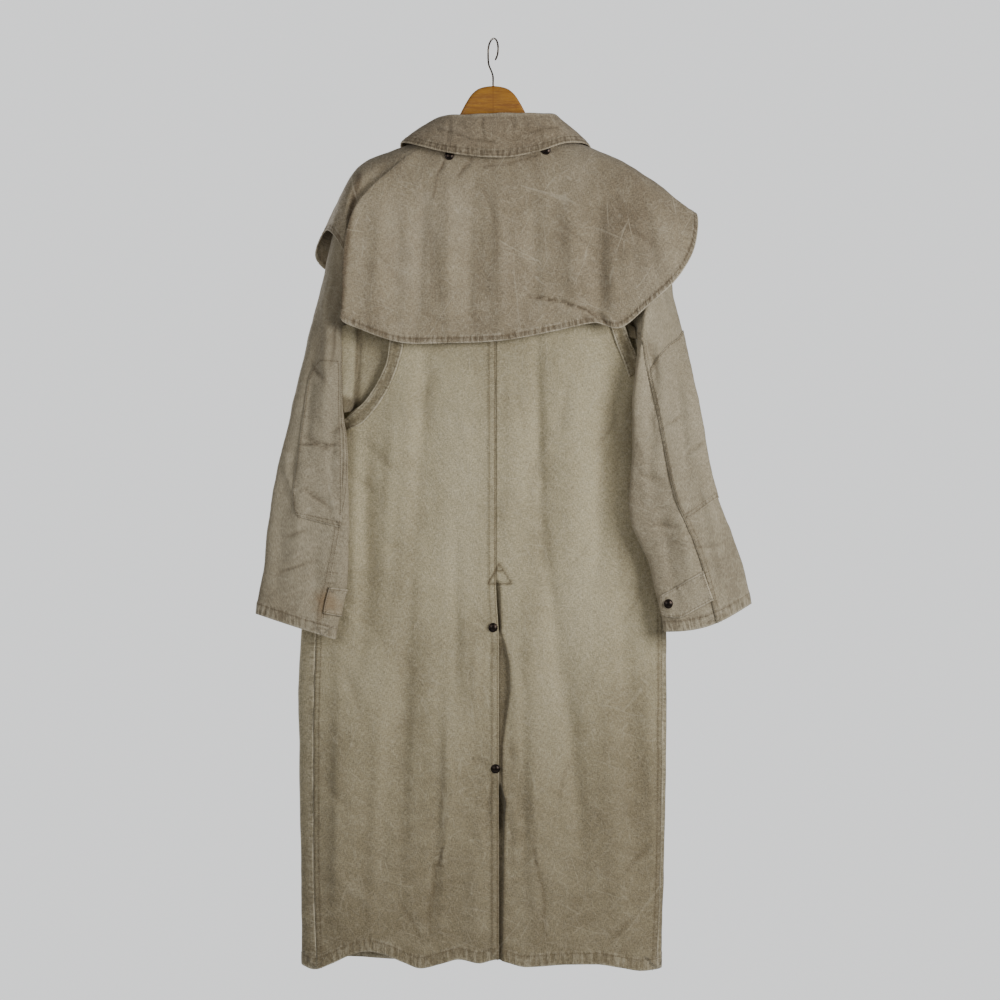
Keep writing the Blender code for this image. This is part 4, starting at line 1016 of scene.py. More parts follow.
        for word, values in (("worn", self.worn), ("soil", self.dirt_and_shade_total), ("sewn", self.sewn)):
            attribute = mesh.attributes.new(word, "FLOAT", "POINT")
            attribute.data.foreach_set("value", self._both(values).astype(np.float32))
        return to_object(self.name + "_cloth", mesh, material)


def odd(count: float) -> int:
    """The nearest odd whole number, at least three."""
    return max(3, 2 * int(round((count - 1) / 2)) + 1)


def tint(red: int, green: int, blue: int) -> Colour:
    """A linear colour from the eight bit values of a screen colour.

    Args:
        red: The red value, 0 to 255.
        green: The green value.
        blue: The blue value.

    Returns:
        The colour, with an alpha of one.
    """
    values = []
    for value in (red, green, blue):
        share = value / 255
        values.append(share / 12.92 if share <= 0.04045 else ((share + 0.055) / 1.055) ** 2.4)
    return values[0], values[1], values[2], 1.0


@dataclass
class NodeBench:
    """Adds and joins the nodes of one tree.

    Attributes:
        tree: The node tree that it works on.
    """

    tree: Tree

    def add(self, kind: str, given: dict[str | int, object] | None = None, **settings: object) -> Node:
        """A new node with its properties set, and its inputs joined or set by name or number.

        Args:
            kind: The node's type.
            given: Sockets or values by the input's name or number.
            settings: Properties by name.

        Returns:
            The node.
        """
        node = self.tree.nodes.new(kind)
        for name, value in settings.items():
            setattr(node, name, value)
        self.feed_all(node, given or {})
        return node

    def feed_all(self, node: Node, given: dict[str | int, object]) -> None:
        """Joins or sets several inputs of a node by name or number."""
        for word, value in given.items():
            self.feed(node.inputs[word], value)

    def feed(self, socket: Socket, value: object) -> None:
        """Joins a socket to another one, or sets its value.

        Args:
            socket: The input.
            value: The socket to join, or the value to set.
        """
        if isinstance(value, Socket):
            self.tree.links.new(value, socket)
        else:
            socket.default_value = value

    def math(
        self, operation: str, first: object, second: object = 0.0, third: float = 0.0, clamp: bool = False
    ) -> Socket:
        """The result of a Math node."""
        given = {0: first, 1: second, 2: third}
        return self.add("ShaderNodeMath", given, operation=operation, use_clamp=clamp).outputs[0]

    def stretch(self, vector: Socket, by: object) -> Socket:
        """A vector multiplied along each axis."""
        return self.add("ShaderNodeVectorMath", {0: vector, 1: by}, operation="MULTIPLY").outputs[0]

    def noise(self, vector: object, scale: float, detail: float = 3.0, rough: float = 0.55) -> Socket:
        """The value of a Noise node."""
        given = {"Vector": vector, "Scale": scale, "Detail": detail, "Roughness": rough}
        return self.add("ShaderNodeTexNoise", given).outputs["Fac"]

    def span(self, value: object, low: float, high: float, to_low: float = 0.0, to_high: float = 1.0) -> Socket:
        """A value mapped smoothly from one range to another, and held at its ends."""
        given = {"Value": value, "From Min": low, "From Max": high, "To Min": to_low, "To Max": to_high}
        return self.add("ShaderNodeMapRange", given, interpolation_type="SMOOTHSTEP").outputs["Result"]

    def mix(self, share: object, first: object, second: object, blend: str = "MIX") -> Socket:
        """A mixed colour.

        Args:
            share: The share of the second colour.
            first: The first colour.
            second: The second colour.
            blend: How they blend.

        Returns:
            The mixed colour.
        """
        given = {"Factor": share, "A": first, "B": second}
        node = self.add("ShaderNodeMix", given, data_type="RGBA", blend_type=blend)
        return [socket for socket in node.outputs if socket.type == "RGBA"][0]

    def bump(self, shader: Node, height: Socket, strength: float, distance: float) -> None:
        """Makes a shader's surface bumpy, with its distance in metres."""
        given = {"Strength": strength, "Distance": distance, "Height": height}
        self.feed(shader.inputs["Normal"], self.add("ShaderNodeBump", given).outputs["Normal"])

    def group(self, tree: Tree, **values: object) -> Node:
        """A group node with its inputs joined or set by name."""
        return self.add("ShaderNodeGroup", values, node_tree=tree)


def new_group(
    name: str, inputs: dict[str, str], outputs: dict[str, str], kind: str = "Shader"
) -> tuple[NodeBench, Node, Node]:
    """A new node group.

    Args:
        name: The group's name.
        inputs: Names of its inputs and their kinds.
        outputs: Names of its outputs and their kinds.
        kind: Shader or Geometry.

    Returns:
        The bench that works on it, its input node and its output node.
    """
    tree = bpy.data.node_groups.new(name, f"{kind}NodeTree")
    for way, sockets in (("INPUT", inputs), ("OUTPUT", outputs)):
        for word, sort in sockets.items():
            tree.interface.new_socket(name=word, in_out=way, socket_type=f"NodeSocket{sort}")
    bench = NodeBench(tree)
    return bench, bench.add("NodeGroupInput"), bench.add("NodeGroupOutput")


def weave_group() -> Tree:
    """Plain weave with slubs, from a place on the cloth in metres and a thread width.

    Returns:
        The node group.
    """
    bench, given, result = new_group(
        "weave", {"Vector": "Vector", "Thread": "Float"}, {"Height": "Float", "Slub": "Float"}
    )
    drift = bench.noise(given.outputs["Vector"], 90.0, 2.0)
    split = bench.add("ShaderNodeSeparateXYZ", {0: given.outputs["Vector"]})
    turns = []
    for axis in range(2):
        place = bench.math("DIVIDE", split.outputs[axis], given.outputs["Thread"])
        place = bench.math("ADD", place, bench.math("MULTIPLY", drift, 1.3))
        turns.append(bench.math("SINE", bench.math("MULTIPLY", place, math.pi)))
    cross = bench.math("MULTIPLY", turns[0], turns[1])
    warp = bench.noise(bench.stretch(given.outputs["Vector"], (900.0, 190.0, 1.0)), 1.0, 2.0, 0.6)
    weft = bench.noise(bench.stretch(given.outputs["Vector"], (190.0, 900.0, 1.0)), 1.0, 2.0, 0.6)
    slub = bench.math("MULTIPLY", bench.math("ADD", warp, weft), 0.5)
    height = bench.math("ADD", bench.math("MULTIPLY", cross, 0.3), slub)
    bench.feed(result.inputs["Height"], height)
    bench.feed(result.inputs["Slub"], slub)
    return bench.tree


def thin_lines(bench: NodeBench, vector: Socket, turns: Table, size: tuple[float, ...], width: float) -> Socket:
    """A mask of thin broken lines.

    Args:
        bench: Adds the nodes.
        vector: The place.
        turns: The turn and the shift of each set of lines.
        size: How far the lines run along each axis before the turn, in metres.
        width: Their width, as a share of the distance between them.

    Returns:
        One on the lines, else zero.
    """
    lines = 0.0
    for turn, shift in turns:
        given = {"Vector": vector, "Location": (shift,) * 3, "Rotation": (0.0, turn, 0.0), "Scale": size}
        moved = bench.add("ShaderNodeMapping", given, vector_type="TEXTURE")
        level = bench.noise(moved.outputs[0], 1.0, 1.6, 0.4)
        line = bench.span(bench.math("ABSOLUTE", bench.math("SUBTRACT", level, 0.5)), 0.0, width, 1.0, 0.0)
        patch = bench.span(bench.noise(moved.outputs[0], 2.6, 2.0), 0.5, 0.62)
        lines = bench.math("MAXIMUM", bench.math("MULTIPLY", line, patch), lines)
    return lines


def wash_group() -> Tree:
    """Uneven washed colour: broad clouds, small mottling, long rubbed lines and fine crinkles.

    Returns:
        The node group.
    """
    outputs = {word: "Float" for word in ("Cloud", "Mottle", "Lines", "Crinkle")}
    bench, given, result = new_group("wash", {"Vector": "Vector"}, outputs)
    vector = given.outputs["Vector"]
    cloud = bench.noise(vector, 5.0, 4.0, 0.5)
    streak = bench.noise(bench.stretch(vector, (9.0, 9.0, 2.2)), 1.0, 4.0, 0.6)
    cloud = bench.math("MULTIPLY", bench.math("ADD", cloud, streak), 0.5)
    bench.feed(result.inputs["Cloud"], bench.span(cloud, 0.36, 0.64))
    fine = bench.noise(vector, 42.0, 5.0, 0.68)
    bench.feed(result.inputs["Mottle"], bench.span(fine, 0.32, 0.68))
    lines = thin_lines(bench, vector, ((0.35, 0.0), (-1.05, 4.0), (1.4, 9.0)), (0.30, 0.2, 0.036), 0.011)
    bench.feed(result.inputs["Lines"], lines)
    turns = ((0.9, 14.0), (-0.6, 21.0), (-1.5, 30.0), (0.1, 37.0))
    bench.feed(result.inputs["Crinkle"], thin_lines(bench, vector, turns, (0.034, 0.03, 0.0085), 0.07))
    return bench.tree


def edge_wear_group() -> Tree:
    """Breaks a mask of rubbed places up into uneven patches.

    Returns:
        The node group.
    """
    bench, given, result = new_group("edge wear", {"Vector": "Vector", "Worn": "Float"}, {"Mask": "Float"})
    broken = bench.noise(given.outputs["Vector"], 260.0, 4.0, 0.7)
    lowered = bench.math("ADD", given.outputs["Worn"], bench.math("MULTIPLY_ADD", broken, 0.9, -0.62))
    bench.feed(result.inputs["Mask"], bench.span(lowered, -0.12, 0.72))
    return bench.tree


def pucker_group() -> Tree:
    """Short creases square to a seam, from a place along and in from it in metres.

    Returns:
        The node group.
    """
    bench, given, result = new_group("pucker", {"Vector": "Vector", "Sewn": "Float"}, {"Ridge": "Float"})
    broad = bench.noise(bench.stretch(given.outputs["Vector"], (185.0, 34.0, 1.0)), 1.0, 1.5, 0.5)
    small = bench.noise(bench.stretch(given.outputs["Vector"], (420.0, 80.0, 1.0)), 1.0, 1.5, 0.5)
    height = bench.math("ADD", bench.math("MULTIPLY", broad, 0.68), bench.math("MULTIPLY", small, 0.32))
    ridge = bench.span(height, 0.36, 0.64, -1.0, 1.0)
    bench.feed(result.inputs["Ridge"], bench.math("MULTIPLY", ridge, given.outputs["Sewn"]))
    return bench.tree


def grain_group() -> Tree:
    """Long soft streaks, for wood and for drawn metal.

    Returns:
        The node group.
    """
    bench, given, result = new_group(
        "grain", {"Vector": "Vector", "Run": "Vector"}, {"Streak": "Float", "Fleck": "Float"}
    )
    drawn = bench.stretch(given.outputs["Vector"], given.outputs["Run"])
    bench.feed(result.inputs["Streak"], bench.span(bench.noise(drawn, 1.0, 5.0, 0.6), 0.3, 0.7))
    bench.feed(result.inputs["Fleck"], bench.span(bench.noise(drawn, 5.0, 3.0, 0.7), 0.52, 0.7))
    return bench.tree


@dataclass
class EffectGroups:
    """The node groups that the finishes share."""

    weave: Tree = field(default_factory=weave_group)
    wash: Tree = field(default_factory=wash_group)
    edge_wear: Tree = field(default_factory=edge_wear_group)
    pucker: Tree = field(default_factory=pucker_group)
    grain: Tree = field(default_factory=grain_group)


def new_material(name: str) -> tuple[Material, NodeBench, Node, Socket]:
    """A new material.

    Args:
        name: Its name.

    Returns:
        The material, the bench that works on it, its Principled shader and the place on the object.
    """
    material = bpy.data.materials.new(name)
    material.use_nodes = True
    bench = NodeBench(material.node_tree)
    place = bench.add("ShaderNodeTexCoord").outputs["Object"]
    return material, bench, material.node_tree.nodes["Principled BSDF"], place


@dataclass(frozen=True)
class CanvasFinish:
    """Washed cotton canvas.

    Attributes:
        name: The finish's name.
        base: The usual colour.
        deep: The colour of darker clouds, of soiling and of painted shade.
        faded: The colour of washed out clouds.
        worn: The colour of rubbed ridges.
        rubbed: How pale its thin rubbed lines are.
        thread: The width of a thread in metres.
        stain: The place and radius of a brown stain in metres, or None.
        stained: The stain's colour.
        fade: The share of the faded colour in pale clouds.
        shade: The share of the deep colour in dark clouds.
        mottle: The share of the small mottling.
        crinkle: The share of the fine crinkles under and over the soiling and painted shade.
        dirt_and_shade_share: The share of the soiling and painted shade.
        slub: The colour's factor in thin and in thick threads.
        pucker: The share of painted shade in the troughs and of pale ridges beside seams.
        edges: The share of rubbed edges.
        bump: The strength of the surface's relief, and its height in metres.
    """

    name: str
    base: Colour
    deep: Colour
    faded: Colour
    worn: Colour
    rubbed: float = 0.15
    thread: float = 0.0007
    stain: tuple[float, float, float, float] | None = None
    stained: Colour = tint(142, 110, 72)
    fade: float = 0.42
    shade: float = 0.34
    mottle: float = 0.26
    crinkle: tuple[float, float] = (0.12, 0.1)
    dirt_and_shade_share: float = 0.88
    slub: tuple[float, float] = (0.68, 1.26)
    pucker: tuple[float, float] = (0.5, 0.2)
    edges: float = 0.7
    bump: tuple[float, float] = (0.75, 0.0009)

    def make(self, groups: EffectGroups) -> Material:
        """Builds the material.

        Args:
            groups: The shared effects.

        Returns:
            The material.
        """
        material, bench, shader, place = new_material(self.name)
        flat = bench.add("ShaderNodeUVMap", uv_map="cloth").outputs["UV"]
        worn = bench.add("ShaderNodeAttribute", attribute_name="worn").outputs["Fac"]
        soil = bench.add("ShaderNodeAttribute", attribute_name="soil").outputs["Fac"]
        beside = bench.add("ShaderNodeUVMap", uv_map="seam").outputs["UV"]
        sewn = bench.add("ShaderNodeAttribute", attribute_name="sewn").outputs["Fac"]
        pucker = bench.group(groups.pucker, Vector=beside, Sewn=sewn)
        weave = bench.group(groups.weave, Vector=flat, Thread=self.thread)
        wash = bench.group(groups.wash, Vector=place)
        wear = bench.group(groups.edge_wear, Vector=place, Worn=worn)
        cloud, crinkle, ridge = wash.outputs["Cloud"], wash.outputs["Crinkle"], pucker.outputs["Ridge"]
        colour = bench.mix(bench.span(cloud, 0.35, 1.0, 0.0, self.fade), self.base, self.faded)
        colour = bench.mix(bench.span(cloud, 0.45, 0.0, 0.0, self.shade), colour, self.deep)
        colour = bench.mix(bench.math("MULTIPLY", wash.outputs["Mottle"], self.mottle), colour, self.faded)
        colour = bench.mix(bench.math("MULTIPLY", crinkle, self.crinkle[0]), colour, self.worn)
        # The attribute's darkness, soiling and painted shade, pulls the colour towards the deep colour.
        colour = bench.mix(bench.math("MULTIPLY", soil, self.dirt_and_shade_share, clamp=True), colour, self.deep)
        slub = bench.span(weave.outputs["Slub"], 0.36, 0.64, *self.slub)
        colour = bench.mix(1.0, colour, slub, "MULTIPLY")
        colour = bench.mix(bench.math("MULTIPLY", crinkle, self.crinkle[1]), colour, self.worn)
        colour = bench.mix(bench.math("MULTIPLY", wash.outputs["Lines"], self.rubbed), colour, self.worn)
        # Painted shade in the pucker troughs beside seams, then pale worn pucker ridges.
        colour = bench.mix(bench.span(ridge, 0.0, -1.0, 0.0, self.pucker[0]), colour, self.deep)
        colour = bench.mix(bench.span(ridge, 0.15, 1.0, 0.0, self.pucker[1]), colour, self.worn)
        colour = bench.mix(bench.math("MULTIPLY", wear.outputs["Mask"], self.edges), colour, self.worn)
        if self.stain:
            away = bench.add("ShaderNodeVectorMath", {0: place, 1: self.stain[:3]}, operation="DISTANCE")
            ragged = bench.math("MULTIPLY", bench.noise(place, 45.0, 4.0), self.stain[3] * 1.2)
            spread = bench.math("ADD", away.outputs["Value"], ragged)
            mask = bench.span(spread, self.stain[3] * 0.7, self.stain[3] * 1.5, 0.5, 0.0)
            colour = bench.mix(mask, colour, self.stained)
        bench.feed(shader.inputs["Base Color"], colour)
        bench.feed(shader.inputs["Roughness"], bench.span(wear.outputs["Mask"], 0.0, 1.0, 0.86, 0.95))
        bench.feed_all(shader, {"Sheen Weight": 0.12, "Sheen Roughness": 0.6, "Specular IOR Level": 0.2})
        fibre = bench.noise(place, 700.0, 3.0, 0.7)
        dents = bench.noise(place, 95.0, 4.0, 0.6)
        height = bench.math("MULTIPLY", weave.outputs["Height"], 0.5)
        for layer, amount in ((fibre, 0.3), (dents, 1.6), (crinkle, 0.5), (ridge, 0.7)):
            height = bench.math("ADD", height, bench.math("MULTIPLY", layer, amount))
        bench.bump(shader, height, *self.bump)
        return material


@dataclass(frozen=True)
class ThreadFinish:
    """Cotton sewing thread.

    Attributes:
        name: The finish's name.
        colour: The thread's colour.
        dulled: The colour of its dull stretches.
        twisted: The painted shade between its plies.
    """

    name: str
    colour: Colour
    dulled: Colour = tint(112, 97, 70)
    twisted: Colour = tint(96, 84, 62)

    def make(self, groups: EffectGroups) -> Material:
        """Builds the material from the shared effects.

        Args:
            groups: The shared effects.

        Returns:
            The material.
        """
        material, bench, shader, place = new_material(self.name)
        wash = bench.group(groups.wash, Vector=place)
        twist = bench.noise(place, 1500.0, 2.0)
        colour = bench.mix(wash.outputs["Cloud"], self.colour, self.dulled)
        colour = bench.mix(bench.span(twist, 0.3, 0.7, 0.0, 0.4), colour, self.twisted)
        bench.feed(shader.inputs["Base Color"], colour)
        bench.feed(shader.inputs["Roughness"], bench.span(twist, 0.2, 0.8, 0.7, 0.9))
        return material


@dataclass(frozen=True)
class WoodFinish:
    """Varnished amber wood with its grain along X.

    Attributes:
        name: The finish's name.
        base: The usual colour.
        dark: The colour of the grain's dark streaks.
        pale: The colour of its pale streaks.
    """

    name: str
    base: Colour
    dark: Colour
    pale: Colour

    def make(self, groups: EffectGroups) -> Material:
        """Builds the material from the shared effects.

        Args:
            groups: The shared effects.

        Returns:
            The material.
        """
        material, bench, shader, place = new_material(self.name)
        grain = bench.group(groups.grain, Vector=place, Run=(22.0, 160.0, 260.0))
        colour = bench.mix(grain.outputs["Streak"], self.base, self.dark)
        colour = bench.mix(bench.math("MULTIPLY", grain.outputs["Fleck"], 0.45), colour, self.pale)
        split = bench.add("ShaderNodeSeparateXYZ", {0: place})
        joint = bench.span(bench.math("ABSOLUTE", split.outputs[0]), 0.0003, 0.0011, 0.6, 0.0)
        colour = bench.mix(joint, colour, self.dark)
        bench.feed(shader.inputs["Base Color"], colour)
        bench.feed(shader.inputs["Roughness"], bench.span(grain.outputs["Streak"], 0.0, 1.0, 0.26, 0.42))
        bench.feed_all(shader, {"Coat Weight": 0.35, "Coat Roughness": 0.18})
        bench.bump(shader, grain.outputs["Streak"], 0.25, 0.0004)
        return material


@dataclass(frozen=True)
class MetalFinish:
    """Aged metal, rubbed bright in places.

    Attributes:
        name: The finish's name.
        dark: The colour of the patina.
        rubbed: The colour where it is rubbed.
        rough: The usual roughness.
        run: How the drawing streaks run.
    """

    name: str
    dark: Colour
    rubbed: Colour
    rough: float = 0.32
    run: tuple[float, float, float] = (420.0, 420.0, 420.0)

    def make(self, groups: EffectGroups) -> Material:
        """Builds the material from the shared effects.

        Args:
            groups: The shared effects.

        Returns:
            The material.
        """
        material, bench, shader, place = new_material(self.name)
        grain = bench.group(groups.grain, Vector=place, Run=self.run)
        wear = bench.group(groups.edge_wear, Vector=place, Worn=grain.outputs["Streak"])
        colour = bench.mix(bench.math("MULTIPLY", wear.outputs["Mask"], 0.55), self.dark, self.rubbed)
        bench.feed(shader.inputs["Base Color"], colour)
        bench.feed(shader.inputs["Metallic"], bench.span(wear.outputs["Mask"], 0.0, 1.0, 0.75, 0.95))
        rough = bench.span(grain.outputs["Fleck"], 0.0, 1.0, self.rough, self.rough + 0.2)
        bench.feed(shader.inputs["Roughness"], rough)
        bench.bump(shader, grain.outputs["Streak"], 0.3, 0.0003)
        return material


@dataclass(frozen=True)
class FloorFinish:
    """A plain pale studio floor.

    Attributes:
        name: The finish's name.
        colour: The usual colour.
        duller: The colour of its faint clouds.
    """

    name: str = "studio_floor"
    colour: Colour = (0.80, 0.80, 0.79, 1.0)
    duller: Colour = (0.7, 0.7, 0.69, 1.0)

    def make(self, groups: EffectGroups) -> Material:
        """Builds the material from the shared effects.

        Args:
            groups: The shared effects.

        Returns:
            The material.
        """
        material, bench, shader, place = new_material(self.name)
        wash = bench.group(groups.wash, Vector=place)
        colour = bench.mix(bench.math("MULTIPLY", wash.outputs["Cloud"], 0.1), self.colour, self.duller)
        bench.feed(shader.inputs["Base Color"], colour)
        shader.inputs["Roughness"].default_value = 0.9
        return material


@dataclass
class Finishes:
    """Every material of the model, made once.

    Attributes:
        groups: The shared effects.
    """

    groups: EffectGroups = field(default_factory=EffectGroups)

    def __post_init__(self) -> None:
        """Makes the materials."""
        body = CanvasFinish(
            "washed_canvas", tint(182, 171, 140), tint(110, 98, 75), tint(200, 190, 160), tint(220, 211, 187)
        )
        cape = CanvasFinish(
            "cape_canvas", tint(163, 150, 125), tint(102, 88, 69), tint(183, 171, 149), tint(214, 204, 182), 0.29
        )
        sleeve = CanvasFinish(
            "sleeve_canvas",
            tint(163, 152, 129),
            tint(104, 92, 73),
            tint(185, 175, 152),
            tint(210, 200, 177),
            stain=(-0.262, -0.075, -0.908, 0.036),
        )
        collar = CanvasFinish(
            "collar_canvas", tint(137, 123, 101), tint(84, 72, 56), tint(158, 145, 125), tint(200, 188, 164), 0.25
        )
        self.body = body.make(self.groups)
        self.collar = collar.make(self.groups)
        self.cape = cape.make(self.groups)
        self.sleeve = sleeve.make(self.groups)
        # The thread is a darker brown than the canvas: partly its own colour, partly painted shade of the puckered
        # stitch lines.
        self.thread = ThreadFinish("sewing_thread", tint(134, 116, 86)).make(self.groups)
        wood = WoodFinish("amber_wood", tint(182, 128, 48), tint(138, 86, 28), tint(204, 156, 80))
        self.wood = wood.make(self.groups)
        self.snap = MetalFinish("aged_bronze", tint(30, 26, 25), tint(74, 62, 54), 0.26).make(self.groups)
        wire = MetalFinish("dark_wire", tint(70, 62, 55), tint(130, 120, 108), 0.35, (400.0, 400.0, 60.0))
        self.wire = wire.make(self.groups)
        self.floor = FloorFinish().make(self.groups)


def stitch_tree() -> Tree:
    """A Geometry Nodes tree that lays one thread lump per stitch along drawn lines.

    Returns:
        The tree, with inputs for spacing, length, width, material and seed.
    """
    inputs = {"Lines": "Geometry"} | dict.fromkeys(("Spacing", "Length", "Width"), "Float")
    inputs |= {"Thread": "Material", "Seed": "Int"}
    bench, drawn, result = new_group("stitches", inputs, {"Stitches": "Geometry"}, "Geometry")
    bench.tree.is_modifier = True
    given = drawn.outputs
    curve = bench.add("GeometryNodeMeshToCurve", {"Mesh": given["Lines"]})
    path = {"Curve": curve.outputs[0], "Length": given["Spacing"]}
    spaced = bench.add("GeometryNodeResampleCurve", path, mode="LENGTH")
    lump = bench.add("GeometryNodeMeshIcoSphere", {"Radius": 0.5, "Subdivisions": 1})
    size = bench.add("ShaderNodeCombineXYZ", {"X": given["Width"], "Y": given["Width"], "Z": given["Length"]})
    shaped = bench.add("GeometryNodeTransform", {"Geometry": lump.outputs["Mesh"], "Scale": size.outputs[0]})
    tangent = bench.add("GeometryNodeInputTangent").outputs[0]
    turned = bench.add("FunctionNodeAlignRotationToVector", {"Vector": tangent}, axis="Z")
    uneven = bench.add("FunctionNodeRandomValue", {"Seed": given["Seed"]}, data_type="FLOAT")
    floats = [socket for socket in uneven.inputs if socket.type == "VALUE" and socket.name in ("Min", "Max")]
    floats[0].default_value, floats[1].default_value = 0.85, 1.12
    amount = [socket for socket in uneven.outputs if socket.type == "VALUE"][0]
    points = {"Points": spaced.outputs[0], "Instance": shaped.outputs[0], "Rotation": turned.outputs[0]}
    placed = bench.add("GeometryNodeInstanceOnPoints", points | {"Scale": amount})
    real = bench.add("GeometryNodeRealizeInstances", {0: placed.outputs[0]})
    finished = bench.add("GeometryNodeSetMaterial", {"Geometry": real.outputs[0], "Material": given["Thread"]})
    bench.feed(result.inputs[0], finished.outputs[0])
    return bench.tree


@dataclass
class StitchBook:
    """Collects stitch lines and sews them.

    Attributes:
        spacing: From one stitch to the next in millimetres.
        length: A stitch's length.
        width: A stitch's width.
        seed: Picks the unevenness.
        lines: The lines, each a row of points in millimetres.
    """

    spacing: float = 3.4
    length: float = 2.7
    width: float = 0.75
    seed: int = 7
    lines: list[Array] = field(default_factory=list)

    def sew(self, name: str, thread: Material) -> Piece:
        """Makes all stitches as one plain mesh.

        Args:
            name: The new piece's name.
            thread: The thread's finish.

        Returns:
            The new object.
        """
        points, edges = [], []
        for line in self.lines:
            first = len(points)
            points += (line / PER_METRE).tolist()
            edges += [(first + step, first + step + 1) for step in range(len(line) - 1)]
        mesh = bpy.data.meshes.new(name + "_lines")
        mesh.from_pydata(points, edges, [])
        drawn = bpy.data.objects.new(name + "_lines", mesh)
        bpy.context.scene.collection.objects.link(drawn)
        sewing = drawn.modifiers.new("stitches", "NODES")
        sewing.node_group = tree = stitch_tree()
        sizes = {"Spacing": self.spacing, "Length": self.length, "Width": self.width}
        values = {word: size / PER_METRE for word, size in sizes.items()} | {"Thread": thread, "Seed": self.seed}
        for socket in tree.interface.items_tree:
            if socket.item_type == "SOCKET" and socket.in_out == "INPUT" and socket.name in values:
                sewing[socket.identifier] = values[socket.name]
        graph = bpy.context.evaluated_depsgraph_get()
        sewn = bpy.data.meshes.new_from_object(drawn.evaluated_get(graph))
        drawn.modifiers.remove(sewing)
        bpy.data.objects.remove(drawn)
        sewn.name = name
        return to_object(name, sewn, thread)


def dress(piece: Piece, slot: str, *nodes: str) -> None:
    """Hides the nodes that a piece stands for and makes it ride with the coat.

    Args:
        piece: The piece.
        slot: Not used.
        nodes: The nodes that it stands for.
    """
    if nodes:
        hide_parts(*nodes)
    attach(piece, "root")


def lay_sheet(panel: ClothPanel, material: Material, slot: str) -> Piece:
    """Args:
        panel: The cut piece.
        material: Its finish.
        slot: Not used; it is only handed on to dress.

    Returns:
        The new object.
    """
    piece = panel.build(material)
    dress(piece, slot, panel.name)
    return piece


def tube(name: str, path: Array, radius: float, around: int, material: Material) -> Piece:
    """A round bar along a path in millimetres, with domed ends.

    Args:
        name: The name of the new piece.
        path: Points along its middle.
        radius: The bar's radius.
        around: Points round it.
        material: The piece's finish.

    Returns:
        The new object.
    """
    path = np.asarray(path, float)
    tangent = unit(np.gradient(path, axis=0))
    side = unit(np.cross(tangent[0], (0.31, 0.2, 0.93)))
    rings = []
    for number, (point, along) in enumerate(zip(path, tangent)):
        side = unit(side - along * float(np.dot(side, along)))
        up = np.cross(along, side)
        turns = [2 * math.pi * step / around for step in range(around)]
        ring = np.array([side * math.cos(turn) + up * math.sin(turn) for turn in turns])
        if number == 0:
            for share, back in ((0.35, 0.94), (0.75, 0.66)):
                rings.append(point - along * radius * back + ring * radius * share)
        rings.append(point + ring * radius)
        if number == len(path) - 1:
            for share, ahead in ((0.75, 0.66), (0.35, 0.94)):
                rings.append(point + along * radius * ahead + ring * radius * share)
    return rings_object(name, np.array(rings), material)


def rings_object(name: str, rings: Array, material: Material) -> Piece:
    """A closed body through rings of points in millimetres, its ends closed by fans.

    Args:
        name: The name of the new piece.
        rings: Rings of points, one after the other.
        material: The piece's finish.

    Returns:
        The new object.
    """
    count, around = rings.shape[:2]
    points = np.concatenate([rings.reshape(-1, 3), rings[:1].mean(axis=1), rings[-1:].mean(axis=1)])
    faces = []
    for ring in range(count - 1):
        for place in range(around):
            a = ring * around + place
            b = ring * around + (place + 1) % around
            faces.append((a, b, b + around, a + around))
    last = (count - 1) * around
    for place in range(around):
        after = (place + 1) % around
        faces.append((after, place, count * around))
        faces.append((last + place, last + after, count * around + 1))
    if signed_volume(points, faces) < 0:
        faces = [face[::-1] for face in faces]
    return to_object(name, to_mesh(name, points, faces), material)


@dataclass
class Snap:
    """A domed snap cap, rolled at its edge and dished round its middle.

    Attributes:
        node: The solid that it stands for.
        radius: The cap's radius in millimetres.
        around: Points round each ring.
        profile: Share of the radius and height of each ring.
    """

    node: str
    radius: float = 7.5
    around: int = 28
    profile: Table = (
        (0.93, -0.35), (1.0, 0.2), (1.0, 0.7), (0.95, 1.15), (0.86, 1.35), (0.78, 1.2), (0.71, 1.35), (0.60, 1.9),
        (0.42, 2.4), (0.22, 2.65), (0.06, 2.7),
    )

    def build(self, finishes: Finishes) -> Piece:
        """Makes the cap over its node.

        Args:
            finishes: The materials.

        Returns:
            The new object.
        """
        low, high = (np.array(corner) * PER_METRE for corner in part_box(self.node))
        middle = (low + high) / 2
        facing = -1.0 if middle[1] < 0 else 1.0
        foot = high[1] if facing < 0 else low[1]
        rings = []
        for share, height in self.profile:
            ring = []
            reach = self.radius * share
            for step in range(self.around):
                turn = 2 * math.pi * step / self.around
                x, z = middle[0] + reach * math.cos(turn), middle[2] + reach * math.sin(turn)
                ring.append((x, foot + facing * height, z))
            rings.append(ring)
        piece = rings_object(self.node + "_cap", np.array(rings), finishes.snap)
        dress(piece, "snap_metal", self.node)
        return piece


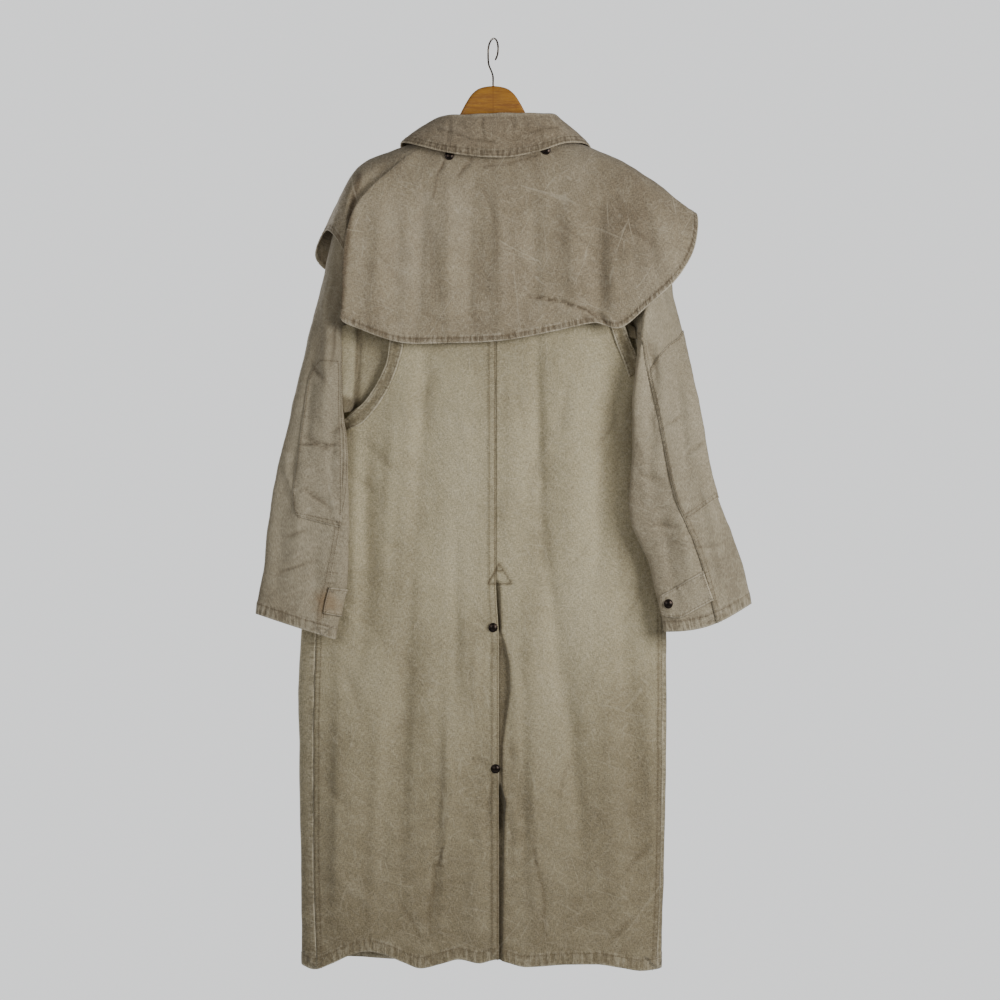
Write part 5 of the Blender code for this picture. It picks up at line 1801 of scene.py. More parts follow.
@dataclass
class Hanger:
    """The wooden hanger and its wire hook.

    Attributes:
        reach: From the wood's middle to an arm's end, in millimetres.
        rounded: How long the rounded end of an arm is.
        half_depth: Half of the wood's thickness.
        corner: How square its section is, 0 for a box and 1 for an ellipse.
        around: Points round its section.
        wire: The wire's radius.
        bow: The inner radius of the hook's bow.
        turned: How far the hook is swivelled, in degrees.
    """

    reach: float = 186.0
    rounded: float = 6.0
    half_depth: float = 6.5
    corner: float = 0.55
    around: int = 28
    wire: float = 1.5
    bow: float = 17.0
    turned: float = 64.0

    def wood(self, finishes: Finishes) -> Piece:
        """Makes the wooden arms with rounded edges.

        Args:
            finishes: The materials.

        Returns:
            The new object.
        """
        rings = []
        for x in self.reach * np.sin(np.linspace(-math.pi / 2, math.pi / 2, 141)):
            top, bottom = (float(read(HANGER, index, abs(x))) for index in (1, 2))
            past = max((abs(x) - (self.reach - self.rounded)) / self.rounded, 0)
            end = math.sqrt(max(1 - past**2, 0.05))
            middle, tall = -(top + bottom) / 2, (bottom - top) / 2
            ring = []
            for step in range(self.around):
                turn = 2 * math.pi * (step + 0.5) / self.around
                depth = math.copysign(abs(math.cos(turn)) ** self.corner, math.cos(turn))
                height = math.copysign(abs(math.sin(turn)) ** self.corner, math.sin(turn))
                ring.append((x, self.half_depth * depth * end, middle + tall * height * end))
            rings.append(ring)
        piece = rings_object("hanger_wood_arms", np.array(rings), finishes.wood)
        dress(piece, "hanger_wood", "hanger_wood")
        return piece

    def hook(self, finishes: Finishes) -> Piece:
        """Makes the wire hook.

        Args:
            finishes: The materials.

        Returns:
            The new object.
        """
        radius = self.bow + self.wire
        turned = math.radians(self.turned)
        across = np.array([-math.cos(turned), math.sin(turned), 0.0])
        path = []
        for degrees in np.linspace(-62, 180, 45):
            angle = math.radians(degrees)
            arm = np.array([0, 0, radius * math.sin(angle) - self.bow])
            path.append(arm - across * radius * math.cos(angle))
        lead = ((1.0, 24), (0.97, 32), (0.82, 40), (0.5, 47), (0.2, 54), (0.03, 60), (0, 66), (0, 84))
        control = np.array([across * radius * share - (0, 0, down) for share, down in lead])
        path = np.concatenate([np.array(path), curve_through(control, 33)])
        piece = tube("hanger_hook_wire", path, self.wire, 16, finishes.wire)
        dress(piece, "hook_wire", "hanger_hook")
        return piece


def drawn_line(points: Table, x: Array, down: Array, width: float) -> Array:
    """A soft mask round a line of x and down.

    Args:
        points: The line's corners.
        x: Places across.
        down: Places down.
        width: The line's half width in millimetres.

    Returns:
        One on the line, falling to zero beside it.
    """
    mask = np.zeros(np.broadcast(x, down).shape)
    for (x1, down1), (x2, down2) in zip(points, points[1:]):
        run = (x2 - x1) ** 2 + (down2 - down1) ** 2
        t = np.clip(((x - x1) * (x2 - x1) + (down - down1) * (down2 - down1)) / run, 0, 1)
        away = np.hypot(x - x1 - (x2 - x1) * t, down - down1 - (down2 - down1) * t)
        mask = np.maximum(mask, np.exp(-((away / width) ** 2)))
    return mask


def back_relief(x: Array, down: Array) -> Array:
    """The creases and dents of the back panels.

    Args:
        x: Places across.
        down: Places down.

    Returns:
        The height out from the cloth.
    """
    height = 1.5 * creases(BACK_CREASES, x, down) + 1.35 * folds(BACK_DRAPE, x, down)
    height = height + 0.95 * crumple(x, down, 95, 3) + 0.5 * crumple(x, down, 34, 4)
    return height * ramp(down, 330, 520) + 0.18 * crumple(x, down, 13, 5)


@dataclass
class Body:
    """The two back panels, the two fronts, the armhole bands and the gussets.

    Attributes:
        step: The distance between grid points on the back, in millimetres.
        hidden_step: The same on the fronts.
        fell: The width of the felled centre back seam.
        hem: The hem's width.
    """

    step: float = 3.0
    hidden_step: float = 5.4
    fell: float = 13.0
    hem: float = 20.0

    def downs(self, step: float) -> Array:
        """The heights of the rows, close together over the shoulders.

        Args:
            step: The usual distance between rows in millimetres.

        Returns:
            The heights, one to a row.
        """
        shoulder = np.array([168, 168.7, 170, 172, 175, 179, 184, 190, 197])
        rest = np.linspace(204, HEM_ROW, odd((HEM_ROW - 204) / step) - 1 + (len(shoulder) % 2 == 0))
        downs = np.concatenate([shoulder, rest])
        return (downs if len(downs) % 2 else downs[1:])[:, None]

    def panel(
        self, name: str, angle: Array, down: Array, raised: Array, relief: Array,
        seams: tuple[Seam, ...], seed: float,
    ) -> ClothPanel:
        """One panel from its angles and heights.

        Args:
            name: The node that it stands for.
            angle: Angles round the body.
            down: Places down.
            raised: How far out of the body's surface it lies.
            relief: Its creases.
            seams: Its sewn edges.
            seed: Shifts the puckers.

        Returns:
            The panel.
        """
        grid = body_point(angle, down, raised)
        x = grid[..., 0]
        middle, _ = body_frame(down)
        inside = np.stack([middle - x, -grid[..., 1], 0 * middle], axis=-1)
        wear = 0.16 * ramp(crumple(x, down, 48, 21), 0.35, 1.2)
        # Painted shade: the cloth grows darker towards the hem.
        soil = (0.8 + 0.08 * crumple(x, down, 34, 22)) * ramp(down, 800, 1480)
        if name.startswith("back"):
            tack = drawn_line(VENT_TACK, x, down, 1.9)
            # Painted shadow: a dark line in the centre back seam above the vent.
            soil = soil + 0.7 * np.exp(-(((x - CENTRE_BACK) / 1.7) ** 2)) * (down < VENT_TOP)
            soil = soil + 0.9 * tack + sum(0.8 * drawn_line(line, x, down, 1.7) for line in STRAP_TACKS)
            # Painted shadow of the right sleeve: two soft dark patches on the right of the back.
            soil = soil + 0.3 * ramp(x, 120, 235) * np.exp(-(((down - 1190) / 120) ** 2))
            soil = soil + 0.3 * ramp(x, 150, 215) * np.exp(-(((down - 700) / 150) ** 2))
            relief = relief - 0.5 * tack
            # Painted shade in the troughs of the back's creases, and rubbed pale ridges.
            crease_shade, rubs = crease_marks(BACK_CREASES, x, down)
            soil, wear = soil + 0.6 * crease_shade, wear + 0.6 * rubs
        soil, upright = np.clip(soil, 0, 1), name.startswith("front")
        return ClothPanel(name, grid, inside, 1.6, seams, relief, wear, soil, seed, upright)

    def back_left(self) -> ClothPanel:
        """The left back panel, felled over the right one and free along the vent.

        Returns:
            The panel.
        """
        downs = self.downs(self.step)
        edge = read(BACK_EDGES, 1, downs)
        inner = CENTRE_BACK - SEAM_GAP / 2 + 4.5 * ramp(downs, VENT_TOP, VENT_TOP + 90)
        main = inner - self.fell - 0.3
        share = np.linspace(0, 1, odd(288 / self.step))[None, :]
        share = share - 0.04 * np.sin(2 * math.pi * share)
        flap = [main + step for step in (0.8, 2.8, 4.8, 6.8, 8.8, 10.8, 12.3)]
        x = np.concatenate([edge + (main - edge) * share, *flap, inner], axis=1)
        down = shaped_down(x, downs, 1, read(BACK_HEM, 1, x))
        relief = back_relief(x, down) + 0.7 * ramp(x, main - 0.4, main + 0.8) - 0.5 * ramp(x, inner - 2.4, inner)
        seams = (
            Seam(Edge.LAST, (2.2, 10.8), self.fell - 1, 0.0, 0.28, 10.5, 0.15),
            Seam(Edge.FIRST, (2.0, 8.5), 9.0, 0.5, 0.35, 9.5, 0.35),
            Seam(Edge.BOTTOM, (self.hem - 2.5,), self.hem, 0.8, 0.6, 13.0, 0.75),
        )
        return self.panel("back_left", body_angle(x, down), down, 0.0 * x, relief, seams, 0.4)

    def back_right(self) -> ClothPanel:
        """The right back panel with the vent's underlap.

        Returns:
            The panel.
        """
        downs = self.downs(self.step)
        edge = read(BACK_EDGES, 2, downs)
        gap, recess = read(VENT_GAP, 1, downs), read(VENT_GAP, 2, downs)
        start = CENTRE_BACK + SEAM_GAP / 2 - (UNDERLAP + 5) * ramp(downs, 866, 890)
        main = gap + 3.2
        covered = np.maximum(gap - 0.5, start + 0.5)
        share = np.linspace(0, 1, odd(275 / self.step))[None, :]
        share = share + 0.04 * np.sin(2 * math.pi * share)
        under = [start + (covered - start) * part for part in np.linspace(0, 1, 6)]
        rise = [covered + (main - covered) * part for part in (0.2, 0.4, 0.6, 0.8)]
        x = np.concatenate([*under, *rise, main + (edge - main) * share], axis=1)
        down = shaped_down(x, downs, 1, read(BACK_HEM, 1, x))
        in_by = recess * read(VENT_DEPTH, 1, downs) * (1 - ramp(x, gap - 0.8, main))
        shown = ramp(x, gap, gap + 14)
        seams = (
            Seam(Edge.LAST, (2.0, 8.5), 9.0, 0.5, 0.35, 9.5, 0.35),
            Seam(Edge.BOTTOM, (self.hem - 2.5,), self.hem, 0.8, 0.6, 13.0, 0.75),
        )
        relief = back_relief(x, down) * shown
        panel = self.panel("back_right", body_angle(x, down), down, -in_by, relief, seams, 2.9)
        # Painted shade in the vent: a dark line at the opening's right edge, a dark line beside the left flap's
        # edge, and the underlap darkened.
        fold = 0.5 * np.exp(-(((x - gap - 1) / 3.0) ** 2)) * ramp(down, 900, 960)
        fold = fold + read(VENT_DEPTH, 2, downs) * np.exp(-(((x - CENTRE_BACK - 6) / 3.2) ** 2))
        fold = fold + 0.45 * (1 - ramp(x, gap - 2.0, gap + 1.0)) * ramp(down, 900, 980)
        panel.dirt_and_shade_total = np.clip(panel.dirt_and_shade_total + fold, 0, 1)
        return panel

    def front(self, name: str, side: int, placket: float) -> ClothPanel:
        """A front panel, which goes round the side to the back panel's seam.

        Args:
            name: The node that it stands for.
            side: Minus one for the left, one for the right.
            placket: The x of its front edge.

        Returns:
            The panel.
        """
        downs = self.downs(self.hidden_step)
        index = 1 if side < 0 else 2
        turn = 2 * math.pi if side < 0 else 0.0
        seam = read(BACK_EDGES, index, downs)
        armhole = read(FRONT_EDGES, index, downs)
        open_share = ramp(downs, 605, 632)
        seam_angle = body_angle(seam, downs) + side * 2.2 * SEAM_GAP / 200
        armhole_angle = math.pi - body_angle(armhole, downs) - turn
        outer_angle = armhole_angle + (seam_angle - armhole_angle) * open_share
        inner_angle = math.pi - body_angle(placket + 0 * downs, downs) - turn
        share = np.linspace(0, 1, odd(330 / self.hidden_step))[None, :]
        share = share - 0.06 * np.sin(2 * math.pi * share) * open_share
        angle = outer_angle + (inner_angle - outer_angle) * share
        x = body_point(angle, downs + 0 * angle)[..., 0]
        wrapped = np.cos(angle) > 0
        hem = np.where(wrapped, read(BACK_HEM, 1, x), HEM_ROW + 3 * np.sin(x / 31.0))
        down = shaped_down(x, downs + 0 * x, 2, hem)
        raised = np.where(wrapped, 0.0, 4.5 * ramp(x, -60, -28)) if side < 0 else 0.0 * x
        calm = ramp(share, 0.0, 0.12)
        relief = (0.8 * crumple(x, down, 95, 13) + 0.35 * crumple(x, down, 36, 14)) * ramp(down, 330, 520) * calm
        relief = relief + creases(FRONT_CREASES, x, down) * np.where(wrapped, 0.0, 1.0)
        seams = (
            Seam(Edge.FIRST, (), 8.0, 0.0, 0.3, 11.5, 0.7),
            Seam(Edge.LAST, (3.0, 34.0), 36.0, 0.7 if side < 0 else 0.0, 0.35, 13.0, 0.8),
            Seam(Edge.BOTTOM, (self.hem - 2.5,), self.hem, 0.8, 0.5, 14.0, 0.9),
        )
        return self.panel(name, angle, down, raised, relief, seams, 4.1 + side)

    def band(self, name: str, table: Table) -> ClothPanel:
        """The stitched band on an armhole edge, laid on the back panel.

        Args:
            name: The node that it stands for.
            table: Rows of x and down on one edge, then on the other.

        Returns:
            The panel.
        """
        if name.endswith("left"):
            table = table[:-1] + ((-230, 608, -212, 622), (-240, 616, -234, 632))
        x, down = strip(table, odd(190 / FINE_STEP), 13)
        share = np.linspace(0, 1, x.shape[1])[None, :]
        raised = back_relief(x, down) + 2.3
        grid = body_point(body_angle(x, down), down, raised)
        inside = np.stack([-0.2 * grid[..., 0], -grid[..., 1], 0 * x], axis=-1)
        seams = (
            Seam(Edge.FIRST, (3.0,), 4.6, 0.8, 0.7, 8.5, 1.0),
            Seam(Edge.LAST, (3.0,), 4.6, 0.6, 0.7, 8.5, 0.9),
        )
        soil = 0.8 * np.sin(math.pi * share) ** 1.5 + 0 * x
        return ClothPanel(name, grid, inside, 1.4, seams, 0.6 * crumple(x, down, 11, 6) + 0.5, 0.0, soil, 1.3)

    def gusset(self, name: str, table: Table) -> ClothPanel:
        """The underarm cloth between the armhole and the sleeve.

        Args:
            name: The node that it stands for.
            table: Rows of x, down and Y on one edge, then on the other.

        Returns:
            The panel.
        """
        knots = np.arange(len(table))
        place = np.linspace(0, len(table) - 1, odd(170 / 3.5))
        near = np.stack([smooth(knots, column(table, index), place) for index in (0, 2, 1)], axis=-1)
        far = np.stack([smooth(knots, column(table, index), place) for index in (3, 5, 4)], axis=-1)
        far = far + (far - near) * 0.05
        share = np.linspace(0, 1, 27)[None, :, None]
        grid = near[:, None] + (far - near)[:, None] * share
        grid[..., 1] += np.sin(math.pi * share[..., 0]) * 6
        grid[..., 2] *= -1
        x, down, inside = grid[..., 0], -grid[..., 2], np.array([0.0, 1.0, 0.0])
        if name.endswith("right"):
            # The right gusset is painted dark all over, as shade.
            return ClothPanel(name, grid, inside, 1.2, (), -0.4, 0.0, 1.0, 0.0)
        fold = drawn_line(GUSSET_FOLD, x, down, 4.5)
        ridge = drawn_line(((-230, 470), (-228, 560)), x, down, 6.5)
        relief = 0.7 * crumple(x, down, 24, 8) + 3.0 * ridge - 6.0 * fold
        relief = relief * np.sin(math.pi * share[..., 0])
        # Painted shade: the gusset is darkened all over, along its fold, in its nook, beside the band and right of
        # the fold.
        soil = 0.2 + fold + 1.3 * drawn_line(GUSSET_NOOK, x, down, 8.0) + 0.4 * ramp(share[..., 0], 0.85, 1.0)
        soil = soil + 0.3 * ramp(x, -219, -206)
        return ClothPanel(name, grid, inside, 1.2, (), relief - 0.4, 0.0, np.clip(soil, 0, 1), 0.0)

    def build(self, finishes: Finishes, book: StitchBook) -> dict[str, Piece]:
        """Makes every piece of the body.

        Args:
            finishes: The materials.
            book: Takes the stitch lines.

        Returns:
            The new objects by name.
        """
        made = {}
        backs = (self.back_left(), self.back_right())
        fronts = (
            self.front("front_left", -1, PLACKET_LEFT_EDGE),
            self.front("front_right", 1, PLACKET_RIGHT_EDGE),
        )
        for panel in backs + fronts:
            made[panel.name] = lay_sheet(panel, finishes.body, "canvas")
            book.lines += panel.stitch_lines()
        for name, table, carrier in (
            ("armhole_band_left", LEFT_BAND, "back_left"),
            ("armhole_band_right", RIGHT_BAND, "back_right"),
        ):
            panel = self.band(name, table)
            made[name] = lay_sheet(panel, finishes.body, "canvas")
            book.lines += panel.stitch_lines()
        for name, table, carrier in (
            ("gusset_left", LEFT_GUSSET, "front_left"),
            ("gusset_right", RIGHT_GUSSET, "front_right"),
        ):
            made[name] = lay_sheet(self.gusset(name, table), finishes.body, "canvas")
        return made


@dataclass
class Sleeve:
    """One sleeve: its two pieces, the elbow patch and the cuff tab.

    Attributes:
        side: left or right.
        table: The sleeve's rows.
        fold_table: Its long folds.
        crease_table: Its short creases.
        step: The distance between grid points in millimetres.
        hidden: How far across the hidden side its second seam lies, 0 to 1.
    """

    side: str
    table: Table
    fold_table: Table
    crease_table: Table
    step: float = 3.1
    hidden: float = 0.45

    def relief(self, x: Array, down: Array, angle: Array) -> Array:
        """The creases and dents of the sleeve.

        Args:
            x: Places across.
            down: Places down.
            angle: Angles round the sleeve.

        Returns:
            The height out of the sleeve.
        """
        height = 1.75 * creases(self.crease_table, x, down) * ramp(np.sin(angle), *BACK_SHOWS)
        height = height + 0.7 * crumple(x, down, 60, 9) + 0.42 * crumple(x, down, 26, 10)
        return height + 0.12 * crumple(x, down, 11, 11)

    def surface(self, row: Array, angle: Array, raised: float = 0.0) -> Array:
        """Points of the sleeve, raised out of it, with its creases.

        Args:
            row: Places along the sleeve, in rows of its table.
            angle: Angles round the sleeve.
            raised: How far out of the surface, in millimetres.

        Returns:
            The points.
        """
        point = sleeve_point(self.table, self.fold_table, row, angle)
        height = self.relief(point[..., 0], -point[..., 2], angle) + raised
        held = np.clip(row, 0.06, len(self.table) - 1.06)
        along = sleeve_point(self.table, self.fold_table, held + 0.05, angle)
        behind = sleeve_point(self.table, self.fold_table, held - 0.05, angle)
        left = sleeve_point(self.table, self.fold_table, row, angle - 0.03)
        right = sleeve_point(self.table, self.fold_table, row, angle + 0.03)
        normal = unit(np.cross(along - behind, right - left))
        outward = ((point - self.middle(row, angle)) * normal).sum() > 0
        return point + (normal if outward else -normal) * height[..., None]

    def middle(self, row: Array, angle: Array) -> Array:
        """The middle of the sleeve at each row."""
        outer = sleeve_point(self.table, (), row, 0 * angle)
        return (outer + sleeve_point(self.table, (), row, 0 * angle + math.pi)) / 2

    def inside(self, row: Array, angle: Array, grid: Array) -> Array:
        """Directions to the middle of the sleeve."""
        return self.middle(row, angle) - grid

    def pieces(self) -> list[ClothPanel]:
        """The outer and the under piece.

        Returns:
            The two panels.
        """
        last = len(self.table) - 1
        rows = np.linspace(0, last, odd(760 / self.step))[:, None]
        seam = smooth(np.arange(len(self.table)), column(self.table, 8), rows)
        seam_angle = np.arccos(1 - 2 * seam)
        hidden = -math.acos(1 - 2 * self.hidden)
        gap = SEAM_GAP * 1.2 / 65
        made = []
        for name, start, end, width, stitched, lift in (
            ("outer", seam_angle + 1.5 * gap, hidden, 190, (2.0, 8.0), 0.8),
            ("under", seam_angle - gap, 2 * math.pi + hidden, 150, (), -1.0),
        ):
            share = np.linspace(0, 1, odd(width / self.step))[None, :]
            angle = start + (end - start) * share
            row = rows + 0 * angle
            grid = self.surface(row, angle)
            x, z, inside = grid[..., 0], grid[..., 2], self.inside(row, angle, grid)
            seams = (
                Seam(Edge.FIRST, stitched, 8.5, lift, 0.4, 9.0, 0.4),
                Seam(Edge.BOTTOM, (17.0,), 18.5, 0.8, 0.6, 10.0, 1.0),
                Seam(Edge.LAST, (), 6.0, 0.0, 0.25, 9.0, 0.5),
            )
            wear = 0.2 * ramp(crumple(x, z, 30, 23), 0.3, 1.2)
            soil = 0.25 * ramp(row, last - 3.0, last) * ramp(crumple(x, z, 40, 24), -0.2, 1.0)
            # Painted shade: the left sleeve is darker all over.
            soil = (0.16 if self.side == "left" else 0.0) + soil
            # Painted shade in the troughs of the sleeve's creases, and rubbed pale ridges.
            crease_shade, rubs = crease_marks(self.crease_table, x, -z)
            shown = ramp(np.sin(angle), *BACK_SHOWS)
            soil, wear = np.clip(soil + crease_shade * shown, 0, 1), np.clip(wear + rubs * shown, 0, 1)
            node = f"sleeve_{self.side}_{name}"
            made.append(ClothPanel(node, grid, inside, 1.6, seams, 0.0, wear, soil, 1.9))
        return made

    def laid(
        self, name: str, x: Array, down: Array, raised: float, thickness: float, seams: tuple[Seam, ...]
    ) -> ClothPanel:
        """A flat piece laid on the sleeve's back.

        Args:
            name: The node that it stands for.
            x: Places across.
            down: Places down.
            raised: How far out of the sleeve's surface it lies.
            thickness: The cloth's thickness.
            seams: Its sewn edges.

        Returns:
            The panel.
        """
        row, angle = sleeve_find(self.table, x, down)
        grid = self.surface(row, angle, raised)
        # Painted shade in the crease troughs, and rubbed pale ridges.
        crease_shade, rubs = crease_marks(self.crease_table, x, down)
        wear, soil = np.clip(0.1 + rubs, 0, 1), np.clip(0.08 + crease_shade, 0, 1)
        return ClothPanel(name, grid, self.inside(row, angle, grid), thickness, seams, 0.0, wear, soil, 2.2)

    def patch(self) -> ClothPanel:
        """The sewn-on elbow patch.

        Returns:
            The panel.
        """
        seams = (
            Seam(Edge.FIRST, (2.4,), 4.0, 0.0, 0.3, 8.5, 0.25),
            Seam(Edge.LAST, (2.4,), 4.0, 0.0, 0.3, 8.5, 0.2),
            Seam(Edge.TOP, (2.4,), 5.0, 0.0, 0.35, 8.5, 0.3),
            Seam(Edge.BOTTOM, (2.4, 8.0), 9.0, 0.0, 0.4, 8.5, 0.4),
        )
        if self.side == "left":
            x, down = strip(LEFT_PATCH, odd(270 / self.step), odd(66 / FINE_STEP))
            panel = self.laid("elbow_patch_left", x, down, 1.8, 1.2, seams)
            dart = drawn_line(LEFT_DART, x, down, 1.8)
            rubbed = ramp(crumple(x, down, 22, 27), 0.2, 1.0) * ramp(down, 640, 690)
            panel.dirt_and_shade_total = np.clip(panel.dirt_and_shade_total + 0.85 * dart + 0.2, 0, 1)
            panel.worn = np.clip(panel.worn + 0.3 * rubbed, 0, 1)
            panel.outer = panel.outer - panel.normal * (0.8 * dart)[..., None]
            return panel
        knots = np.arange(len(self.table))
        found, _ = sleeve_find(self.table, column(RIGHT_PATCH, 0), column(RIGHT_PATCH, 1))
        rows = np.linspace(found[0], found[-1], odd(262 / self.step))[:, None]
        seam_angle = np.arccos(1 - 2 * smooth(knots, column(self.table, 8), rows)) - 0.02
        far = -0.55 + 0.45 * np.exp(-((rows - found[0]) / 0.7) ** 2)
        share = np.linspace(0, 1, odd(120 / self.step))[None, :]
        angle = seam_angle + (far - seam_angle) * share
        upper = 1 - (rows - found[0]) / (found[-1] - found[0])
        row = rows - 0.25 * ramp(share, 0, 0.5) * (0.6 + 0.4 * upper)
        row = row + upper**2 * (0.75 * ramp(share, 0, 0.7) - 0.25)
        grid = self.surface(row, angle, 1.5)
        # Painted shade in the crease troughs, and rubbed pale ridges.
        crease_shade, rubs = crease_marks(self.crease_table, grid[..., 0], -grid[..., 2])
        shown = ramp(np.sin(angle), *BACK_SHOWS)
        soil, wear = np.clip(0.15 + crease_shade * shown, 0, 1), np.clip(0.12 + rubs * shown, 0, 1)
        inside = self.inside(row, angle, grid)
        return ClothPanel("elbow_patch_right", grid, inside, 1.0, seams, 0.0, wear, soil, 2.2)

    def tab(self) -> ClothPanel:
        """The cuff's snap tab.

        Returns:
            The panel.
        """
        seams = tuple(
            Seam(edge, (2.6,), 4.5, 0.5, 0.4, 9.0, 0.8) for edge in (Edge.FIRST, Edge.LAST, Edge.TOP, Edge.BOTTOM)
        )
        if self.side == "right":
            x, down = strip(RIGHT_TAB, odd(80 / FINE_STEP), odd(46 / FINE_STEP))
            return self.laid("cuff_tab_right", x, down, 3.3, 1.9, seams)
        last = len(self.table) - 1
        band = len(self.table) - 1.42
        coarse = np.linspace(0, band - 0.3, 16)
        rows = np.linspace(coarse[14], coarse[15], odd(46 / FINE_STEP))[:, None]
        seam = np.arccos(1 - 2 * smooth(np.arange(last + 1), column(self.table, 8), rows))
        end = 2 * math.pi - math.acos(1 - 2 * self.hidden)
        share = np.linspace(0, 1, odd(90 / 2.6))[None, :]
        angle = seam + 0.02 + (end - seam) * 0.75 * share
        row = rows + 0 * angle
        grid = self.surface(row, angle, 2.6)
        return ClothPanel("cuff_tab_left", grid, self.inside(row, angle, grid), 1.9, seams, 0.0, 0.1, 0.0, 2.0)

    def build(self, finishes: Finishes, book: StitchBook) -> None:
        """Makes every piece of the sleeve.

        Args:
            finishes: The materials.
            book: Takes the stitch lines.
        """
        outer, under = self.pieces()
        for panel, held, carrier in (
            (outer, "hung", "hanger_wood"),
            (under, "hung", outer.name),
            (self.patch(), "laid", outer.name),
            (self.tab(), "laid", under.name),
        ):
            lay_sheet(panel, finishes.sleeve, "canvas")
            book.lines += panel.stitch_lines()


@dataclass
class Cape:
    """The shoulder cape.

    Attributes:
        around: Grid points round it.
        along: Grid points from neck to hem.
        hem: The hem's width in millimetres.
    """

    around: int = 521
    along: int = 99
    hem: float = 11.0

    def panel(self) -> ClothPanel:
        """Shapes the cape from its rows of points.

        Returns:
            The panel.
        """
        control = np.array(CAPE, float).reshape(len(CAPE), 4, 3)
        dense = curve_through(control, 1301)
        dense = curve_through(dense.transpose(1, 0, 2), self.along).transpose(1, 0, 2)
        run = np.linalg.norm(np.diff(dense[:, ::14], axis=0), axis=-1).mean(axis=1)
        run = np.concatenate([[0.0], np.cumsum(run)])
        place = np.interp(np.linspace(0, run[-1], self.around), run, np.arange(1301))
        low = np.clip(np.floor(place).astype(int), 0, 1299)
        part = (place - low)[:, None, None]
        grid = dense[low] * (1 - part) + dense[low + 1] * part
        facing = np.clip(-grid[..., 1] - 40, 0, 12) / 12
        grid[..., 1] -= folds(CAPE_FOLDS, grid[..., 0], grid[..., 2]) * facing
        x, down, y = grid[..., 0].copy(), grid[..., 2].copy(), grid[..., 1].copy()
        grid[..., 2] *= -1
        inside = np.stack([-0.3 * grid[..., 0], -grid[..., 1], -0.4 * np.abs(grid[..., 0])], axis=-1)
        share = np.linspace(0, 1, self.along)[None, :]
        calm = ramp(share, 0.12, 0.4)
        relief = (1.3 * creases(CAPE_CREASES, x, down) + folds(CAPE_DRAPE, x, down)) * ramp(-y, 20, 40)
        relief = relief + calm * (0.8 * crumple(x, down + y, 80, 15) + 0.42 * crumple(x, down + y, 30, 16))
        relief = relief + calm * 0.14 * crumple(x, down + y, 12, 17)
        wear = 0.2 * ramp(crumple(x, down, 36, 25), 0.3, 1.2) * calm
        # Painted shade: a soft dark patch on the right of the cape, and darker near the neck under the collar.
        soil = 0.6 * np.exp(-(((x - 215) / 78) ** 2) - ((down - 300) / 95) ** 2) + 0.2 * (1 - ramp(down, 190, 260))
        soil = soil + 0.1 + 0.1 * crumple(x, down, 34, 28)
        # Painted shade along the cape's deep left fold, its crease line and the creases by the neck.
        fold = drawn_line(CAPE_FOLD_LINE, x, down, 5.0) * ramp(-y, 0, 20)
        fold = fold + 0.75 * drawn_line(CAPE_CREASE_LINE, x, down, 1.9) * ramp(-y, 20, 40)
        fold = fold + sum(0.5 * drawn_line(line, x, down, 2.4) for line in CAPE_NECK_LINES) * ramp(-y, 0, 20)
        # Painted shade in the troughs of the cape's creases, and rubbed pale ridges.
        crease_shade, rubs = crease_marks(CAPE_CREASES, x, down)
        soil = np.clip(soil + fold + 0.7 * crease_shade * ramp(-y, 20, 40), 0, 1)
        wear = wear + 0.7 * rubs * ramp(-y, 20, 40)
        ends = tuple(Seam(edge, (2.4, 8.2), self.hem, 0.6, 0.4, 9.0, 0.8) for edge in (Edge.TOP, Edge.BOTTOM))
        seams = (Seam(Edge.LAST, (2.4, 8.2), self.hem, 0.6, 0.6, 9.0, 1.0), *ends)
        return ClothPanel("cape", grid, inside, 1.6, seams, relief, wear, soil, 0.8, True)

    def build(self, finishes: Finishes, book: StitchBook) -> Piece:
        """Makes the cape and hands over its stitch lines.

        Args:
            finishes: The materials.
            book: Takes the stitch lines.

        Returns:
            The new object.
        """
        panel = self.panel()
        book.lines += panel.stitch_lines()
        return lay_sheet(panel, finishes.cape, "cape_canvas")


